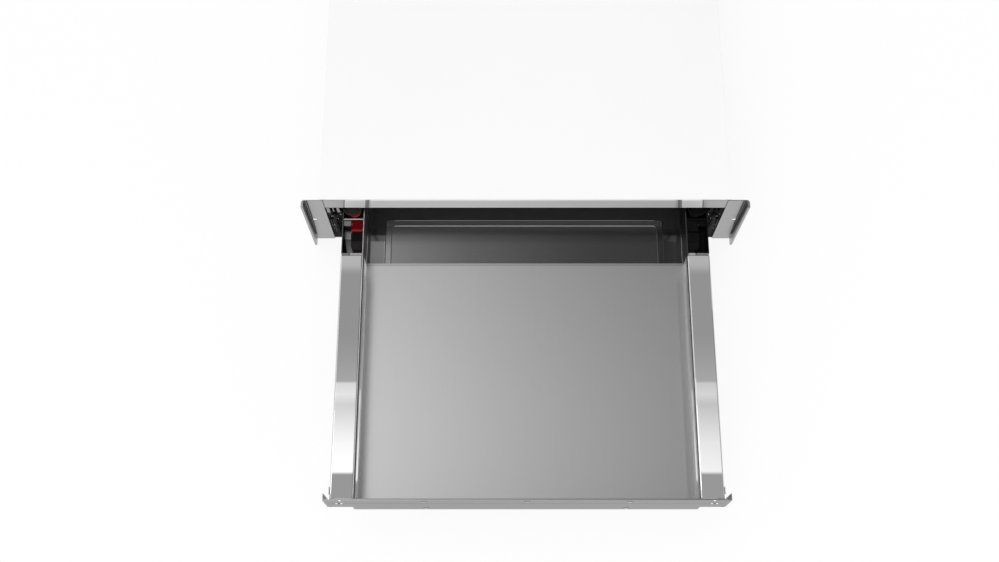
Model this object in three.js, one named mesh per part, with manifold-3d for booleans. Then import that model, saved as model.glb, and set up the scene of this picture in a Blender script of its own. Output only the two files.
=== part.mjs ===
// A built-in warming drawer, drawn out on its rails, without a furniture front.
// Millimetres, +Z up. The drawer opens towards -Y. Inside this file y = 0 is the front
// frame's face and z = 0 the underside of the base; the finished group is moved along Y
// so that the origin is the middle of the bounding box's bottom.

import * as THREE from 'three';
import { mergeVertices } from 'three/addons/utils/BufferGeometryUtils.js';
import Module from 'manifold-3d';

const wasm = await Module();
wasm.setup();

// ---------------------------------------------------------------- driving sizes

const SHEET = 1.2; // folded steel sheet
const SEAT_GAP = 0.3; // between pieces that touch
const ROUND_SIDES = 24;

// Casing and its front frame
const FRAME_WIDTH = 594;
const FRAME_HEIGHT = 136;
const SIDE_FACE = 28;
const CROSSBAR_HEIGHT = 24;
const CROSSBAR_RETURN = 12;
const LIP_REACH = 10;
const LIP_THICKNESS = 3;
const LIP_BEND_RADIUS = 4;
const FRAME_RETURN = 10;
const FRAME_GROOVE_DEPTH = 0.4; // behind the frame's face, for the side wall's front edge
const FRAME_HOLE_RADIUS = 3.3;
const FRAME_HOLE_INSET = 9; // from the frame's outer edge to the fixing hole
const FRAME_HOLE_LIFT = 2; // above the middle of the frame's height
const CROSSBAR_LOWER_RETURN = 10;
const FRAME_OVERLAP = 23; // how far the frame reaches beyond the casing on each side
const CASING_DEPTH = 540;
const VENT_LENGTH = 26;
const VENT_WIDTH = 4;
const VENT_PITCH = 12;
const BASE_VENTS = 4;
const TOP_VENTS = 12;
const SIDE_VENTS = 6;

// Drawer
const FRONT_SET_OUT = 9; // how far the mounting plate stands out when shut
const DRAWER_SIDE_GAP = 24; // between the drawer and the opening's side
const DRAWER_OVER_RAIL = 27.5; // how much longer the drawer is than its rail
const DRAWER_CLEARANCE = 4; // under the crossbar
const REAR_ZONE = 139.1; // length of the drawer behind the side covers and the floor plate
const INNER_DEPTH = 42;
const COVER_WIDTH = 30.8;
const COVER_SKIRT = 16;
const COVER_INNER_BEND_RADIUS = 3.2;
const COVER_OUTER_BEND_RADIUS = 1.8;
const COVER_LIP_DROP = 2.6;
const COVER_LIP_REACH = 4.7;
const FLOOR_PLATE_THICKNESS = 3;
const PAD_SIDE_MARGIN = 24.4; // from the pan's side to the raised zone
const PAD_RAISE = 1.2;
const PAD_SLOPE = 9;
const PAD_REAR_MARGIN = 74; // from the pan's rear edge to the raised zone
const AIR_SLOT_WIDTH = 5;
const AIR_SLOT_HEIGHT = 24;
const AIR_SLOT_PITCH = 12;
const AIR_SLOT_COUNT = 9;

// Front mounting plate
const PLATE_RISE = 2; // above the drawer's top
const PLATE_HEIGHT = 71;
const PLATE_WING_HEIGHT = 52;
const PLATE_WING_WIDTH = 32;
const PLATE_OVERHANG = 8.5; // beyond the drawer on each side
const PLATE_END_RETURN = 8.4;
const PLATE_HOLE_RADIUS = 2.6;
const PLATE_HOLE_PITCH = 128;
const PLATE_HOLE_UPPER_INSET = 11; // from the plate's top edge
const PLATE_HOLE_LOWER_INSET = 12; // from the plate's bottom edge
const PLATE_PIN_HOLE_RADIUS = 1.6;
const PLATE_PIN_HOLE_INSET = 4.5;
const ADJUSTER_RADIUS = 5;
const ADJUSTER_THICKNESS = 2.5;
const ADJUSTER_INSET = 16.5; // from the plate's end to the adjuster's centre
const ADJUSTER_DROP = 28; // from the plate's top edge to the adjuster's centre
const BRACKET_THICKNESS = 1.4;
const BRACKET_REACH = 16;
const BRACKET_TAB_LENGTH = 8.5; // the part that rises beside the side cover
const BRACKET_TAB_HEIGHT = 14;

// Telescopic rails, under the side covers
const RAIL_START = 8; // behind the frame's face
const RAIL_BACK_SPACE = 92; // behind the rails, for the fan and the mains connection
const RAIL_OVERLAP = 58; // what stays in the rail when the drawer is drawn out
const RAIL_HEIGHT = 46;
const RAIL_RUNNING_GAP = 0.8;
const RAIL_FLANGE_CABINET = 8;
const RAIL_FLANGE_MIDDLE = 10.8;
const RAIL_FLANGE_DRAWER = 12.2;
const RAIL_STEP = 4; // between the webs of the middle rail and the cabinet rail
const SUPPORT_FOOT = 15;
const SUPPORT_SET_IN = 1.2; // from the tray's outer wall
const SUPPORT_DROP = 2; // below the cabinet rail's top

// Mechanism trays behind the side covers
const TRAY_DEPTH = 20.7;
const TRAY_RUNNING_GAP = 1.3; // over the cabinet rail
const TRAY_WALL_DROP = 4; // below the drawer's top
const LEVER_LENGTH = 17;
const LEVER_WIDTH = 15.5;
const LEVER_HEIGHT = 11;
const LEVER_PIN_RADIUS = 1.2;
const LEVER_SET_BACK = 31.6; // from the side cover's rear end
const LEVER_SWING_GAP = 1.6; // ahead of the lever, for its raised edge to swing down
const LEVER_PIN_INSET = 3; // from the lever's rear and underside to its pin
const LEVER_EDGE = 2; // height of the raised edge
const BRIDGE_WIDTH = 3;
const BRIDGE_HEIGHT = 2;
const BRIDGE_RISE = 1; // above the tray's outer wall
const STOP_LENGTH = 9;
const STOP_HEIGHT = 6;
const HOUSING_CORNER_RADIUS = 9;
const HOUSING_HEIGHT = 13;
const HOUSING_STEP = 3;
const HUB_RADIUS = 11.2;
const CAP_OVERHANG = 2.4; // beyond the hub all round
const CAP_FRONT_GAP = 1.1; // behind the lever bridge
const CAP_THICKNESS = 2.6;
const CAP_CHAMFER = 1;

// Black end blocks at the front of the casing
const BLOCK_CLEARANCE = 2.5; // beside the drawer
const BLOCK_BOTTOM = 4;
const BLOCK_DROP = 12; // below the opening's top
const BLOCK_DEPTH = 14;
const BLOCK_CORNER_RADIUS = 5;

// Heater under the pan
const MAT_THICKNESS = 2;
const MAT_SIDE_MARGIN = 3; // inside the raised zone
const MAT_FRONT_MARGIN = 27;
const MAT_REAR_MARGIN = 23;
const SHIELD_REAR_MARGIN = 13; // from the raised zone's rear edge
const THERMOSTAT_RADIUS = 9;
const THERMOSTAT_HEIGHT = 9;
const THERMOSTAT_CHAMFER = 2;
const THERMOSTAT_X = 60;
const THERMOSTAT_SET_BACK = 27.5; // from the raised zone's rear edge

// Fan at the back of the casing
const FAN_RADIUS = 34;
const FAN_WALL = 1.5;
const FAN_TOP = 108;
const FAN_FLOOR = 40;
const FAN_BACK_GAP = 4;
const FAN_OUTLET_WIDTH = 44;
const FAN_OUTLET_BOTTOM = 66;
const FAN_OUTLET_TOP = 102;
const MOTOR_RADIUS = 15.7;
const MOTOR_BOTTOM = 20;
const MOTOR_TOP = 58;
const MOTOR_COLLAR_REACH = 4;
const MOTOR_COLLAR_HEIGHT = 3;
const SHAFT_RADIUS = 2.5;
const SHAFT_TOP = 98;
const IMPELLER_RADIUS = 27.5;
const IMPELLER_HEIGHT = 32;
const IMPELLER_LIFT = 4; // over the motor
const IMPELLER_PLATE = 2;
const IMPELLER_SLEEVE_WALL = 3;
const IMPELLER_SLEEVE_HEIGHT = 12;
const IMPELLER_BLADES = 12;
const BLADE_WIDTH = 5;
const BLADE_THICKNESS = 1.2;
const BLADE_SET_IN = 0.5; // from the wheel's edge
const HEATER_TUBE_RADIUS = 1.9;
const LIMITER_SIZE = 16;

// Mains connection
const TERMINAL_WIDTH = 60;
const TERMINAL_DEPTH = 40;
const TERMINAL_HEIGHT = 40;
const TERMINAL_WALL = 2;
const TERMINAL_SIDE_SPACE = 24; // from the casing's side to the box
const GLAND_RADIUS = 9;
const GLAND_BORE = 5;
const GLAND_FLANGE_RADIUS = 13;
const GLAND_FLANGE_THICKNESS = 3;
const GLAND_INNER_REACH = 6; // into the terminal box
const GLAND_REACH = 8;
const GLAND_Z = 22;

// ---------------------------------------------------------------- derived places

const frameHalf = FRAME_WIDTH / 2;
const openingHalf = frameHalf - SIDE_FACE;
const openingTop = FRAME_HEIGHT - CROSSBAR_HEIGHT;
const underTop = FRAME_HEIGHT - SHEET - SEAT_GAP; // just under the top cover
const casingHalf = frameHalf - FRAME_OVERLAP;
const casingFront = SHEET + SEAT_GAP;
const wallFront = casingFront - FRAME_GROOVE_DEPTH;
const backInner = CASING_DEPTH - SHEET;
const insideBack = backInner - SEAT_GAP;
const onBase = SHEET + SEAT_GAP;

const railLength = CASING_DEPTH - RAIL_START - RAIL_BACK_SPACE;
const openTravel = railLength - RAIL_OVERLAP;
const drawerHalf = openingHalf - DRAWER_SIDE_GAP;
const drawerTop = openingTop - DRAWER_CLEARANCE;
const drawerFront = -(openTravel + FRONT_SET_OUT);
const drawerRear = drawerFront + railLength + DRAWER_OVER_RAIL;
const innerFrontFace = drawerFront + SHEET + SEAT_GAP;
const innerFrontBack = innerFrontFace + SHEET;
const panFront = innerFrontBack + SEAT_GAP;
const panRear = drawerRear - SHEET - SEAT_GAP;
const coverInner = drawerHalf - COVER_WIDTH;
const wallInner = coverInner + SHEET + SEAT_GAP;
const wallOuter = wallInner + SHEET;
const coverUnder = drawerTop - SHEET;
const wallTop = drawerTop - COVER_INNER_BEND_RADIUS;
const floorTop = drawerTop - INNER_DEPTH;
const padTop = floorTop - FLOOR_PLATE_THICKNESS - SEAT_GAP;
const panTop = padTop - PAD_RAISE;
const panUnder = panTop - SHEET;
const panHalf = wallInner - SEAT_GAP;
const padHalf = panHalf - PAD_SIDE_MARGIN;
const padRear = drawerRear - PAD_REAR_MARGIN;
const coverRear = drawerRear - REAR_ZONE;

const trayUnder = drawerTop - TRAY_DEPTH;
const trayFloor = trayUnder + SHEET;
const trayInner = wallOuter + SEAT_GAP;
const trayWallInner = drawerHalf - SHEET;
const trayFront = coverRear + SEAT_GAP;
const onTray = trayFloor + SEAT_GAP;
const bayInner = trayInner + SEAT_GAP;
const bayOuter = trayWallInner - SEAT_GAP;
const leverOuter = bayInner + LEVER_WIDTH;
const leverFront = coverRear + LEVER_SET_BACK;
const leverRear = leverFront + LEVER_LENGTH;
const leverBottom = onTray + STOP_HEIGHT / 2;
const housingRear = leverFront - LEVER_SWING_GAP;
const pinY = leverRear - LEVER_PIN_INSET;
const pinZ = leverBottom + LEVER_PIN_INSET;
const trayWallTop = drawerTop - TRAY_WALL_DROP;
const bridgeTop = trayWallTop + BRIDGE_RISE;
const bridgeFront = leverRear + 2 * SEAT_GAP;
const bridgeRear = bridgeFront + BRIDGE_WIDTH;
const capRadius = HUB_RADIUS + CAP_OVERHANG;
const capUnder = wallTop + SEAT_GAP;
const hubX = bayOuter - SEAT_GAP - HUB_RADIUS;
const hubY = bridgeRear + CAP_FRONT_GAP + capRadius;

const railTop = trayUnder - TRAY_RUNNING_GAP;
const railBottom = railTop - RAIL_HEIGHT;
const middleRailTop = railTop - SHEET - RAIL_RUNNING_GAP;
const middleRailBottom = railBottom + SHEET + RAIL_RUNNING_GAP;
const drawerRailTop = middleRailTop - SHEET - RAIL_RUNNING_GAP;
const drawerRailBottom = middleRailBottom + SHEET + RAIL_RUNNING_GAP;
const supportOuter = trayWallInner - SUPPORT_SET_IN;
const supportInner = supportOuter - SHEET;
const cabinetWebOuter = supportInner - SEAT_GAP;
const middleWebOuter = cabinetWebOuter - RAIL_STEP;
const supportTop = railTop - SUPPORT_DROP;

const plateHalf = drawerHalf + PLATE_OVERHANG;
const plateCentreHalf = plateHalf - PLATE_WING_WIDTH;
const plateTop = drawerTop + PLATE_RISE;
const plateBottom = plateTop - PLATE_HEIGHT;
const wingBottom = plateTop - PLATE_WING_HEIGHT;
const blockInner = drawerHalf + BLOCK_CLEARANCE;
const blockOuter = openingHalf - SEAT_GAP;
const blockTop = openingTop - BLOCK_DROP;
const fanY = insideBack - FAN_BACK_GAP - FAN_RADIUS;
const impellerBottom = MOTOR_TOP + IMPELLER_LIFT;
const impellerTop = impellerBottom + IMPELLER_HEIGHT;
const terminalX1 = casingHalf - TERMINAL_SIDE_SPACE;
const terminalX0 = terminalX1 - TERMINAL_WIDTH;
const terminalFront = insideBack - TERMINAL_DEPTH;
const glandX = (terminalX0 + terminalX1) / 2;
const frontmost = drawerFront - SEAT_GAP - ADJUSTER_THICKNESS;
const rearmost = CASING_DEPTH + GLAND_REACH;
const middleY = (frontmost + rearmost) / 2;

// ---------------------------------------------------------------- materials

function finish(name, color, roughness, metalness) {
  return new THREE.MeshStandardMaterial({ name, color, roughness, metalness });
}

const satinSteel = finish('satin steel', 0xb8b6b3, 0.35, 1);
const polishedSteel = finish('polished steel', 0xc8c6c3, 0.12, 1);
const darkSteel = finish('dark steel', 0x6a6866, 0.15, 1);
const zincSteel = finish('zinc plated steel', 0xc4c6c8, 0.45, 1);
const blackPlastic = finish('black plastic', 0x161616, 0.5, 0);
const greyPlastic = finish('grey plastic', 0x6e6e6c, 0.5, 0);
const redPlastic = finish('red plastic', 0x8c1018, 0.4, 0);
const aluminium = finish('aluminium', 0xb0b2b4, 0.4, 1);
const matFoil = finish('heating foil', 0x9a7a4c, 0.5, 0);

// ---------------------------------------------------------------- shape helpers

function box(x0, x1, y0, y1, z0, z1) {
  const shape = new THREE.BoxGeometry(Math.abs(x1 - x0), y1 - y0, z1 - z0);
  return shape.translate((x0 + x1) / 2, (y0 + y1) / 2, (z0 + z1) / 2);
}

function extrude(points, depth) {
  const outline = new THREE.Shape(points.map(([a, b]) => new THREE.Vector2(a, b)));
  return new THREE.ExtrudeGeometry(outline, { depth, bevelEnabled: false });
}

// points are [x, z]
function alongY(points, y0, y1) {
  return extrude(points, y1 - y0).rotateX(Math.PI / 2).translate(0, y1, 0);
}

// points are [y, z]
function alongX(points, x0, x1) {
  const turn = new THREE.Matrix4().makeBasis(
    new THREE.Vector3(0, 1, 0),
    new THREE.Vector3(0, 0, 1),
    new THREE.Vector3(1, 0, 0),
  );
  const low = Math.min(x0, x1);
  return extrude(points, Math.abs(x1 - x0)).applyMatrix4(turn).translate(low, 0, 0);
}

// points are [x, y]
function alongZ(points, z0, z1) {
  return extrude(points, z1 - z0).translate(0, 0, z0);
}

function arc(cx, cy, radius, startDeg, endDeg, steps = 5) {
  const points = [];
  for (let i = 0; i <= steps; i += 1) {
    const angle = THREE.MathUtils.degToRad(startDeg + ((endDeg - startDeg) * i) / steps);
    points.push([cx + radius * Math.cos(angle), cy + radius * Math.sin(angle)]);
  }
  return points;
}

function mirror(points, side) {
  return points.map(([x, other]) => [side * x, other]);
}

function turned(profile, sides = ROUND_SIDES) {
  const points = profile.map(([r, z]) => new THREE.Vector2(r, z));
  return new THREE.LatheGeometry(points, sides).rotateX(Math.PI / 2);
}

function rod(radius, x0, x1, y, z) {
  const shape = new THREE.CylinderGeometry(radius, radius, Math.abs(x1 - x0), ROUND_SIDES);
  return shape.rotateZ(Math.PI / 2).translate((x0 + x1) / 2, y, z);
}

function drillY(radius, x, z, y0, y1) {
  const shape = new THREE.CylinderGeometry(radius, radius, y1 - y0, ROUND_SIDES);
  return shape.translate(x, (y0 + y1) / 2, z);
}

function solid(geometry) {
  const plain = geometry.clone();
  plain.deleteAttribute('normal');
  plain.deleteAttribute('uv');
  const merged = mergeVertices(plain, 1e-4);
  return new wasm.Manifold(new wasm.Mesh({
    numProp: 3,
    vertProperties: new Float32Array(merged.attributes.position.array),
    triVerts: new Uint32Array(merged.index.array),
  }));
}

function geometryOf(manifold) {
  const mesh = manifold.getMesh();
  const geometry = new THREE.BufferGeometry();
  geometry.setAttribute('position', new THREE.BufferAttribute(mesh.vertProperties, 3));
  geometry.setIndex(new THREE.BufferAttribute(mesh.triVerts, 1));
  geometry.computeVertexNormals();
  return geometry;
}

function cut(body, tools) {
  return geometryOf(tools.reduce((rest, tool) => rest.subtract(solid(tool)), solid(body)));
}

function join(shapes) {
  const [first, ...others] = shapes;
  return geometryOf(others.reduce((whole, shape) => whole.add(solid(shape)), solid(first)));
}

// ---------------------------------------------------------------- the assembly

const warmingDrawer = new THREE.Group();
warmingDrawer.name = 'warming_drawer';
warmingDrawer.position.y = -middleY;

function add(name, geometry, material) {
  const mesh = new THREE.Mesh(geometry, material);
  mesh.name = name;
  warmingDrawer.add(mesh);
}

// Builds a piece for each side: side is -1 on the left and +1 on the right.
function addPair(name, build, leftMaterial, rightMaterial = leftMaterial) {
  add(`${name}_left`, build(-1), leftMaterial);
  add(`${name}_right`, build(1), rightMaterial);
}

// ---------------------------------------------------------------- casing

function ventRow(count, y, z0, z1) {
  const slots = [];
  for (let i = 0; i < count; i += 1) {
    const x = (i - (count - 1) / 2) * VENT_PITCH;
    slots.push(box(x - VENT_WIDTH / 2, x + VENT_WIDTH / 2, y, y + VENT_LENGTH, z0, z1));
  }
  return slots;
}

function basePlate() {
  const plate = box(-casingHalf, casingHalf, casingFront, insideBack, 0, SHEET);
  const ventY = fanY - VENT_LENGTH / 2;
  return cut(plate, ventRow(BASE_VENTS, ventY, -1, SHEET + 1));
}

function topCover() {
  const low = FRAME_HEIGHT - SHEET;
  const plate = box(-casingHalf, casingHalf, casingFront, insideBack, low, FRAME_HEIGHT);
  const ventY = insideBack - 2 * VENT_LENGTH;
  return cut(plate, ventRow(TOP_VENTS, ventY, low - 1, FRAME_HEIGHT + 1));
}

function sideWall(side) {
  const inner = casingHalf - SHEET;
  const wall = box(side * inner, side * casingHalf, wallFront, insideBack, onBase, underTop);
  const slots = [];
  for (let i = 0; i < SIDE_VENTS; i += 1) {
    const y = insideBack - 2 * VENT_LENGTH - i * VENT_PITCH;
    const z = FRAME_HEIGHT / 2;
    slots.push(box(
      side * (inner - 1), side * (casingHalf + 1),
      y, y + VENT_WIDTH, z - VENT_LENGTH / 2, z + VENT_LENGTH / 2,
    ));
  }
  return cut(wall, slots);
}

function backWall() {
  const wall = box(-casingHalf, casingHalf, backInner, CASING_DEPTH, 0, FRAME_HEIGHT);
  const reach = [backInner - 1, CASING_DEPTH + 1];
  return cut(wall, [drillY(GLAND_RADIUS + SEAT_GAP, glandX, GLAND_Z, ...reach)]);
}

// The face, the forward lip with its bend and the return beside the opening, seen from above.
function sideFrame(side) {
  const lipInner = frameHalf - LIP_THICKNESS;
  const bendX = frameHalf - LIP_BEND_RADIUS;
  const bendY = SHEET - LIP_BEND_RADIUS;
  const outline = [
    [openingHalf, 0],
    [lipInner, 0],
    [lipInner, -LIP_REACH],
    [frameHalf, -LIP_REACH],
    ...arc(bendX, bendY, LIP_BEND_RADIUS, 0, 90),
    [openingHalf + SHEET, SHEET],
    [openingHalf + SHEET, FRAME_RETURN],
    [openingHalf, FRAME_RETURN],
  ];
  const profile = alongZ(mirror(outline, side), 0, FRAME_HEIGHT);
  const holeX = side * (frameHalf - FRAME_HOLE_INSET);
  const overBase = box(
    side * (openingHalf - 1), side * casingHalf, SHEET, FRAME_RETURN + 1, -1, onBase,
  );
  const underCover = box(
    side * (openingHalf - 1), side * (casingHalf + SEAT_GAP),
    SHEET, FRAME_RETURN + 1, underTop, FRAME_HEIGHT + 1,
  );
  const groove = box(
    side * (casingHalf - SHEET - SEAT_GAP), side * (casingHalf + SEAT_GAP),
    SHEET - FRAME_GROOVE_DEPTH, SHEET + 1, -1, FRAME_HEIGHT + 1,
  );
  const holeZ = FRAME_HEIGHT / 2 + FRAME_HOLE_LIFT;
  const hole = drillY(FRAME_HOLE_RADIUS, holeX, holeZ, -1, SHEET + 1);
  return cut(profile, [hole, overBase, underCover, groove]);
}

// Its face stands in front of the top cover's edge, and its upper return lies under that cover.
function crossbar() {
  const outline = [
    [0, openingTop],
    [CROSSBAR_LOWER_RETURN, openingTop],
    [CROSSBAR_LOWER_RETURN, openingTop + SHEET],
    [SHEET, openingTop + SHEET],
    [SHEET, underTop - SHEET],
    [CROSSBAR_RETURN, underTop - SHEET],
    [CROSSBAR_RETURN, underTop],
    [SHEET, underTop],
    [SHEET, FRAME_HEIGHT],
    [0, FRAME_HEIGHT],
  ];
  return alongX(outline, -(openingHalf - SEAT_GAP), openingHalf - SEAT_GAP);
}

function endBlock(side) {
  const r = BLOCK_CORNER_RADIUS;
  const outline = [
    ...arc(blockInner + r, BLOCK_BOTTOM + r, r, 180, 270),
    ...arc(blockOuter - r, BLOCK_BOTTOM + r, r, 270, 360),
    [blockOuter, blockTop],
    [blockInner, blockTop],
  ];
  return alongY(mirror(outline, side), casingFront, casingFront + BLOCK_DEPTH);
}

add('base_plate', basePlate(), zincSteel);
addPair('side_wall', sideWall, zincSteel);
add('back_wall', backWall(), zincSteel);
add('top_cover', topCover(), zincSteel);
addPair('side_frame', sideFrame, satinSteel);
add('frame_crossbar', crossbar(), satinSteel);
addPair('rail_end_block', endBlock, blackPlastic);

// ---------------------------------------------------------------- rails

// A channel with its web at webOuter, open towards the drawer's middle.
function channelIn(side, webOuter, flange, bottom, top, y0) {
  const outline = [
    [webOuter, bottom],
    [webOuter, top],
    [webOuter - flange, top],
    [webOuter - flange, top - SHEET],
    [webOuter - SHEET, top - SHEET],
    [webOuter - SHEET, bottom + SHEET],
    [webOuter - flange, bottom + SHEET],
    [webOuter - flange, bottom],
  ];
  return alongY(mirror(outline, side), y0, y0 + railLength);
}

function cabinetRail(side) {
  return channelIn(side, cabinetWebOuter, RAIL_FLANGE_CABINET, railBottom, railTop, RAIL_START);
}

function middleRail(side) {
  const y0 = RAIL_START - openTravel / 2;
  return channelIn(
    side, middleWebOuter, RAIL_FLANGE_MIDDLE, middleRailBottom, middleRailTop, y0,
  );
}

function drawerRail(side) {
  const web = wallOuter + SEAT_GAP;
  const outline = [
    [web, drawerRailBottom],
    [web + RAIL_FLANGE_DRAWER, drawerRailBottom],
    [web + RAIL_FLANGE_DRAWER, drawerRailBottom + SHEET],
    [web + SHEET, drawerRailBottom + SHEET],
    [web + SHEET, drawerRailTop - SHEET],
    [web + RAIL_FLANGE_DRAWER, drawerRailTop - SHEET],
    [web + RAIL_FLANGE_DRAWER, drawerRailTop],
    [web, drawerRailTop],
  ];
  const y0 = RAIL_START - openTravel;
  return alongY(mirror(outline, side), y0, y0 + railLength);
}

function railSupport(side) {
  const outline = [
    [supportInner, onBase],
    [supportOuter + SUPPORT_FOOT, onBase],
    [supportOuter + SUPPORT_FOOT, onBase + SHEET],
    [supportOuter, onBase + SHEET],
    [supportOuter, supportTop],
    [supportInner, supportTop],
  ];
  const y0 = casingFront + BLOCK_DEPTH + SEAT_GAP;
  return alongY(mirror(outline, side), y0, RAIL_START + railLength);
}

addPair('rail_support', railSupport, zincSteel);
addPair('cabinet_rail', cabinetRail, zincSteel);
addPair('middle_rail', middleRail, zincSteel);
addPair('drawer_rail', drawerRail, zincSteel);

// ---------------------------------------------------------------- drawer

// The base sheet with the raised heating zone, whose sides slope on the flanks and the rear.
function drawerPan() {
  const sheet = box(-panHalf, panHalf, panFront, panRear, panUnder, panTop);
  const overlap = SHEET / 2;
  const section = [
    [-padHalf, panTop - overlap],
    [padHalf, panTop - overlap],
    [padHalf, panTop],
    [padHalf - PAD_SLOPE, padTop],
    [PAD_SLOPE - padHalf, padTop],
    [-padHalf, panTop],
  ];
  const pad = alongY(section, panFront, padRear);
  const rearSlope = alongX([
    [padRear - PAD_SLOPE, padTop],
    [padRear + 1, padTop + 1],
    [padRear, panTop],
  ], -padHalf - 1, padHalf + 1);
  const raised = cut(pad, [rearSlope]);
  return join([sheet, raised]);
}

function floorPlate() {
  return box(-panHalf, panHalf, panFront, coverRear, padTop + SEAT_GAP, floorTop);
}

function panWall(side) {
  return box(side * wallInner, side * wallOuter, panFront, panRear, panUnder, wallTop);
}

function rearWall() {
  const wall = box(-wallOuter, wallOuter, drawerRear - SHEET, drawerRear, panUnder, wallTop);
  const middleZ = (panTop + wallTop) / 2;
  const slots = [];
  for (let i = 0; i < AIR_SLOT_COUNT; i += 1) {
    const x = (i - (AIR_SLOT_COUNT - 1) / 2) * AIR_SLOT_PITCH;
    slots.push(box(
      x - AIR_SLOT_WIDTH / 2, x + AIR_SLOT_WIDTH / 2,
      drawerRear - SHEET - 1, drawerRear + 1,
      middleZ - AIR_SLOT_HEIGHT / 2, middleZ + AIR_SLOT_HEIGHT / 2,
    ));
  }
  return cut(wall, slots);
}

// Full width at the top, where it closes the ends of the side covers.
function innerFront() {
  const skirtBottom = drawerTop - COVER_SKIRT;
  const outline = [
    [-wallOuter, panUnder],
    [wallOuter, panUnder],
    [wallOuter, skirtBottom],
    [drawerHalf, skirtBottom],
    [drawerHalf, drawerTop],
    [-drawerHalf, drawerTop],
    [-drawerHalf, skirtBottom],
    [-wallOuter, skirtBottom],
  ];
  return alongY(outline, innerFrontFace, innerFrontBack);
}

// The polished cover over the rail: it turns down inside to the floor plate, in front of the
// pan wall, and has a skirt outside and a lip at the rear.
function sideCover(side) {
  const inner = COVER_INNER_BEND_RADIUS;
  const outer = COVER_OUTER_BEND_RADIUS;
  const flangeBottom = floorTop + SEAT_GAP;
  const outline = [
    ...arc(coverInner + inner, drawerTop - inner, inner - SHEET, 90, 180),
    [coverInner + SHEET, flangeBottom],
    [coverInner, flangeBottom],
    ...arc(coverInner + inner, drawerTop - inner, inner, 180, 90, 8),
    ...arc(drawerHalf - outer, drawerTop - outer, outer, 90, 0),
    [drawerHalf, drawerTop - COVER_SKIRT],
    [trayWallInner, drawerTop - COVER_SKIRT],
    [trayWallInner, coverUnder],
  ];
  const lipTop = coverRear - COVER_LIP_REACH;
  const lip = alongX([
    [lipTop - 1, drawerTop],
    [lipTop, drawerTop],
    [coverRear, drawerTop - COVER_LIP_DROP],
    [coverRear, drawerTop - COVER_LIP_DROP - SHEET],
    [lipTop - 1, coverUnder],
  ], side * (wallOuter + SEAT_GAP), side * trayWallInner);
  return join([alongY(mirror(outline, side), panFront, lipTop), lip]);
}

// Its ends are folded back; the folded band is drawn from above and the lower part joined on.
function mountingPlate() {
  const back = drawerFront + SHEET;
  const endBack = drawerFront + PLATE_END_RETURN;
  const band = alongZ([
    [-plateHalf, drawerFront],
    [plateHalf, drawerFront],
    [plateHalf, endBack],
    [plateHalf - SHEET, endBack],
    [plateHalf - SHEET, back],
    [SHEET - plateHalf, back],
    [SHEET - plateHalf, endBack],
    [-plateHalf, endBack],
  ], wingBottom, plateTop);
  const lower = box(
    -plateCentreHalf, plateCentreHalf, drawerFront, back, plateBottom, wingBottom + SHEET,
  );
  const reach = [drawerFront - 1, back + 1];
  const holes = [];
  for (const column of [-1, 0, 1]) {
    const x = column * PLATE_HOLE_PITCH;
    holes.push(drillY(PLATE_HOLE_RADIUS, x, plateTop - PLATE_HOLE_UPPER_INSET, ...reach));
  }
  for (const side of [-1, 1]) {
    const x = side * PLATE_HOLE_PITCH;
    holes.push(drillY(PLATE_HOLE_RADIUS, x, plateBottom + PLATE_HOLE_LOWER_INSET, ...reach));
    const pinX = side * (plateHalf - PLATE_PIN_HOLE_INSET);
    const pinHoleZ = wingBottom + PLATE_PIN_HOLE_INSET;
    holes.push(drillY(PLATE_PIN_HOLE_RADIUS, pinX, pinHoleZ, ...reach));
  }
  return cut(join([band, lower]), holes);
}

function frontBracket(side) {
  const inner = drawerHalf + SEAT_GAP;
  const front = drawerFront + SHEET + SEAT_GAP;
  const back = front + BRACKET_REACH;
  const outline = [
    [front, wingBottom],
    [back, wingBottom],
    [back, drawerTop],
    [back - BRACKET_TAB_LENGTH, drawerTop],
    [back - BRACKET_TAB_LENGTH, drawerTop - BRACKET_TAB_HEIGHT],
    [front, drawerTop - BRACKET_TAB_HEIGHT],
  ];
  return alongX(outline, side * inner, side * (inner + BRACKET_THICKNESS));
}

function frontAdjuster(side) {
  const x = side * (plateHalf - ADJUSTER_INSET);
  const back = drawerFront - SEAT_GAP;
  return drillY(ADJUSTER_RADIUS, x, plateTop - ADJUSTER_DROP, back - ADJUSTER_THICKNESS, back);
}

add('drawer_pan', drawerPan(), darkSteel);
add('floor_plate', floorPlate(), satinSteel);
addPair('pan_wall', panWall, satinSteel);
add('pan_rear_wall', rearWall(), satinSteel);
add('inner_front_wall', innerFront(), satinSteel);
addPair('side_cover', sideCover, polishedSteel);
add('front_mounting_plate', mountingPlate(), satinSteel);
addPair('front_bracket', frontBracket, zincSteel);
addPair('front_adjuster', frontAdjuster, zincSteel);

// ---------------------------------------------------------------- mechanism trays

function mechanismTray(side) {
  const outline = [
    [trayInner, trayUnder],
    [drawerHalf, trayUnder],
    [drawerHalf, trayWallTop],
    [trayWallInner, trayWallTop],
    [trayWallInner, trayFloor],
    [trayInner, trayFloor],
  ];
  return alongY(mirror(outline, side), trayFront, drawerRear);
}

// Seen from above; its outer front corner is rounded.
function housingOutline(grow) {
  const r = HOUSING_CORNER_RADIUS;
  const outer = leverOuter;
  const front = trayFront + SEAT_GAP;
  return arc(outer - r, front + r, r + grow, 270, 360, 8);
}

function damperHousing(side) {
  const front = trayFront + SEAT_GAP;
  const lower = [
    [bayInner, front],
    ...housingOutline(0),
    [leverOuter, housingRear],
    [bayInner, housingRear],
  ];
  const body = alongZ(mirror(lower, side), onTray, onTray + HOUSING_HEIGHT);
  const step = box(
    side * bayInner, side * leverOuter, (front + housingRear) / 2, housingRear,
    onTray, onTray + HOUSING_HEIGHT + HOUSING_STEP,
  );
  return join([body, step]);
}

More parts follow.
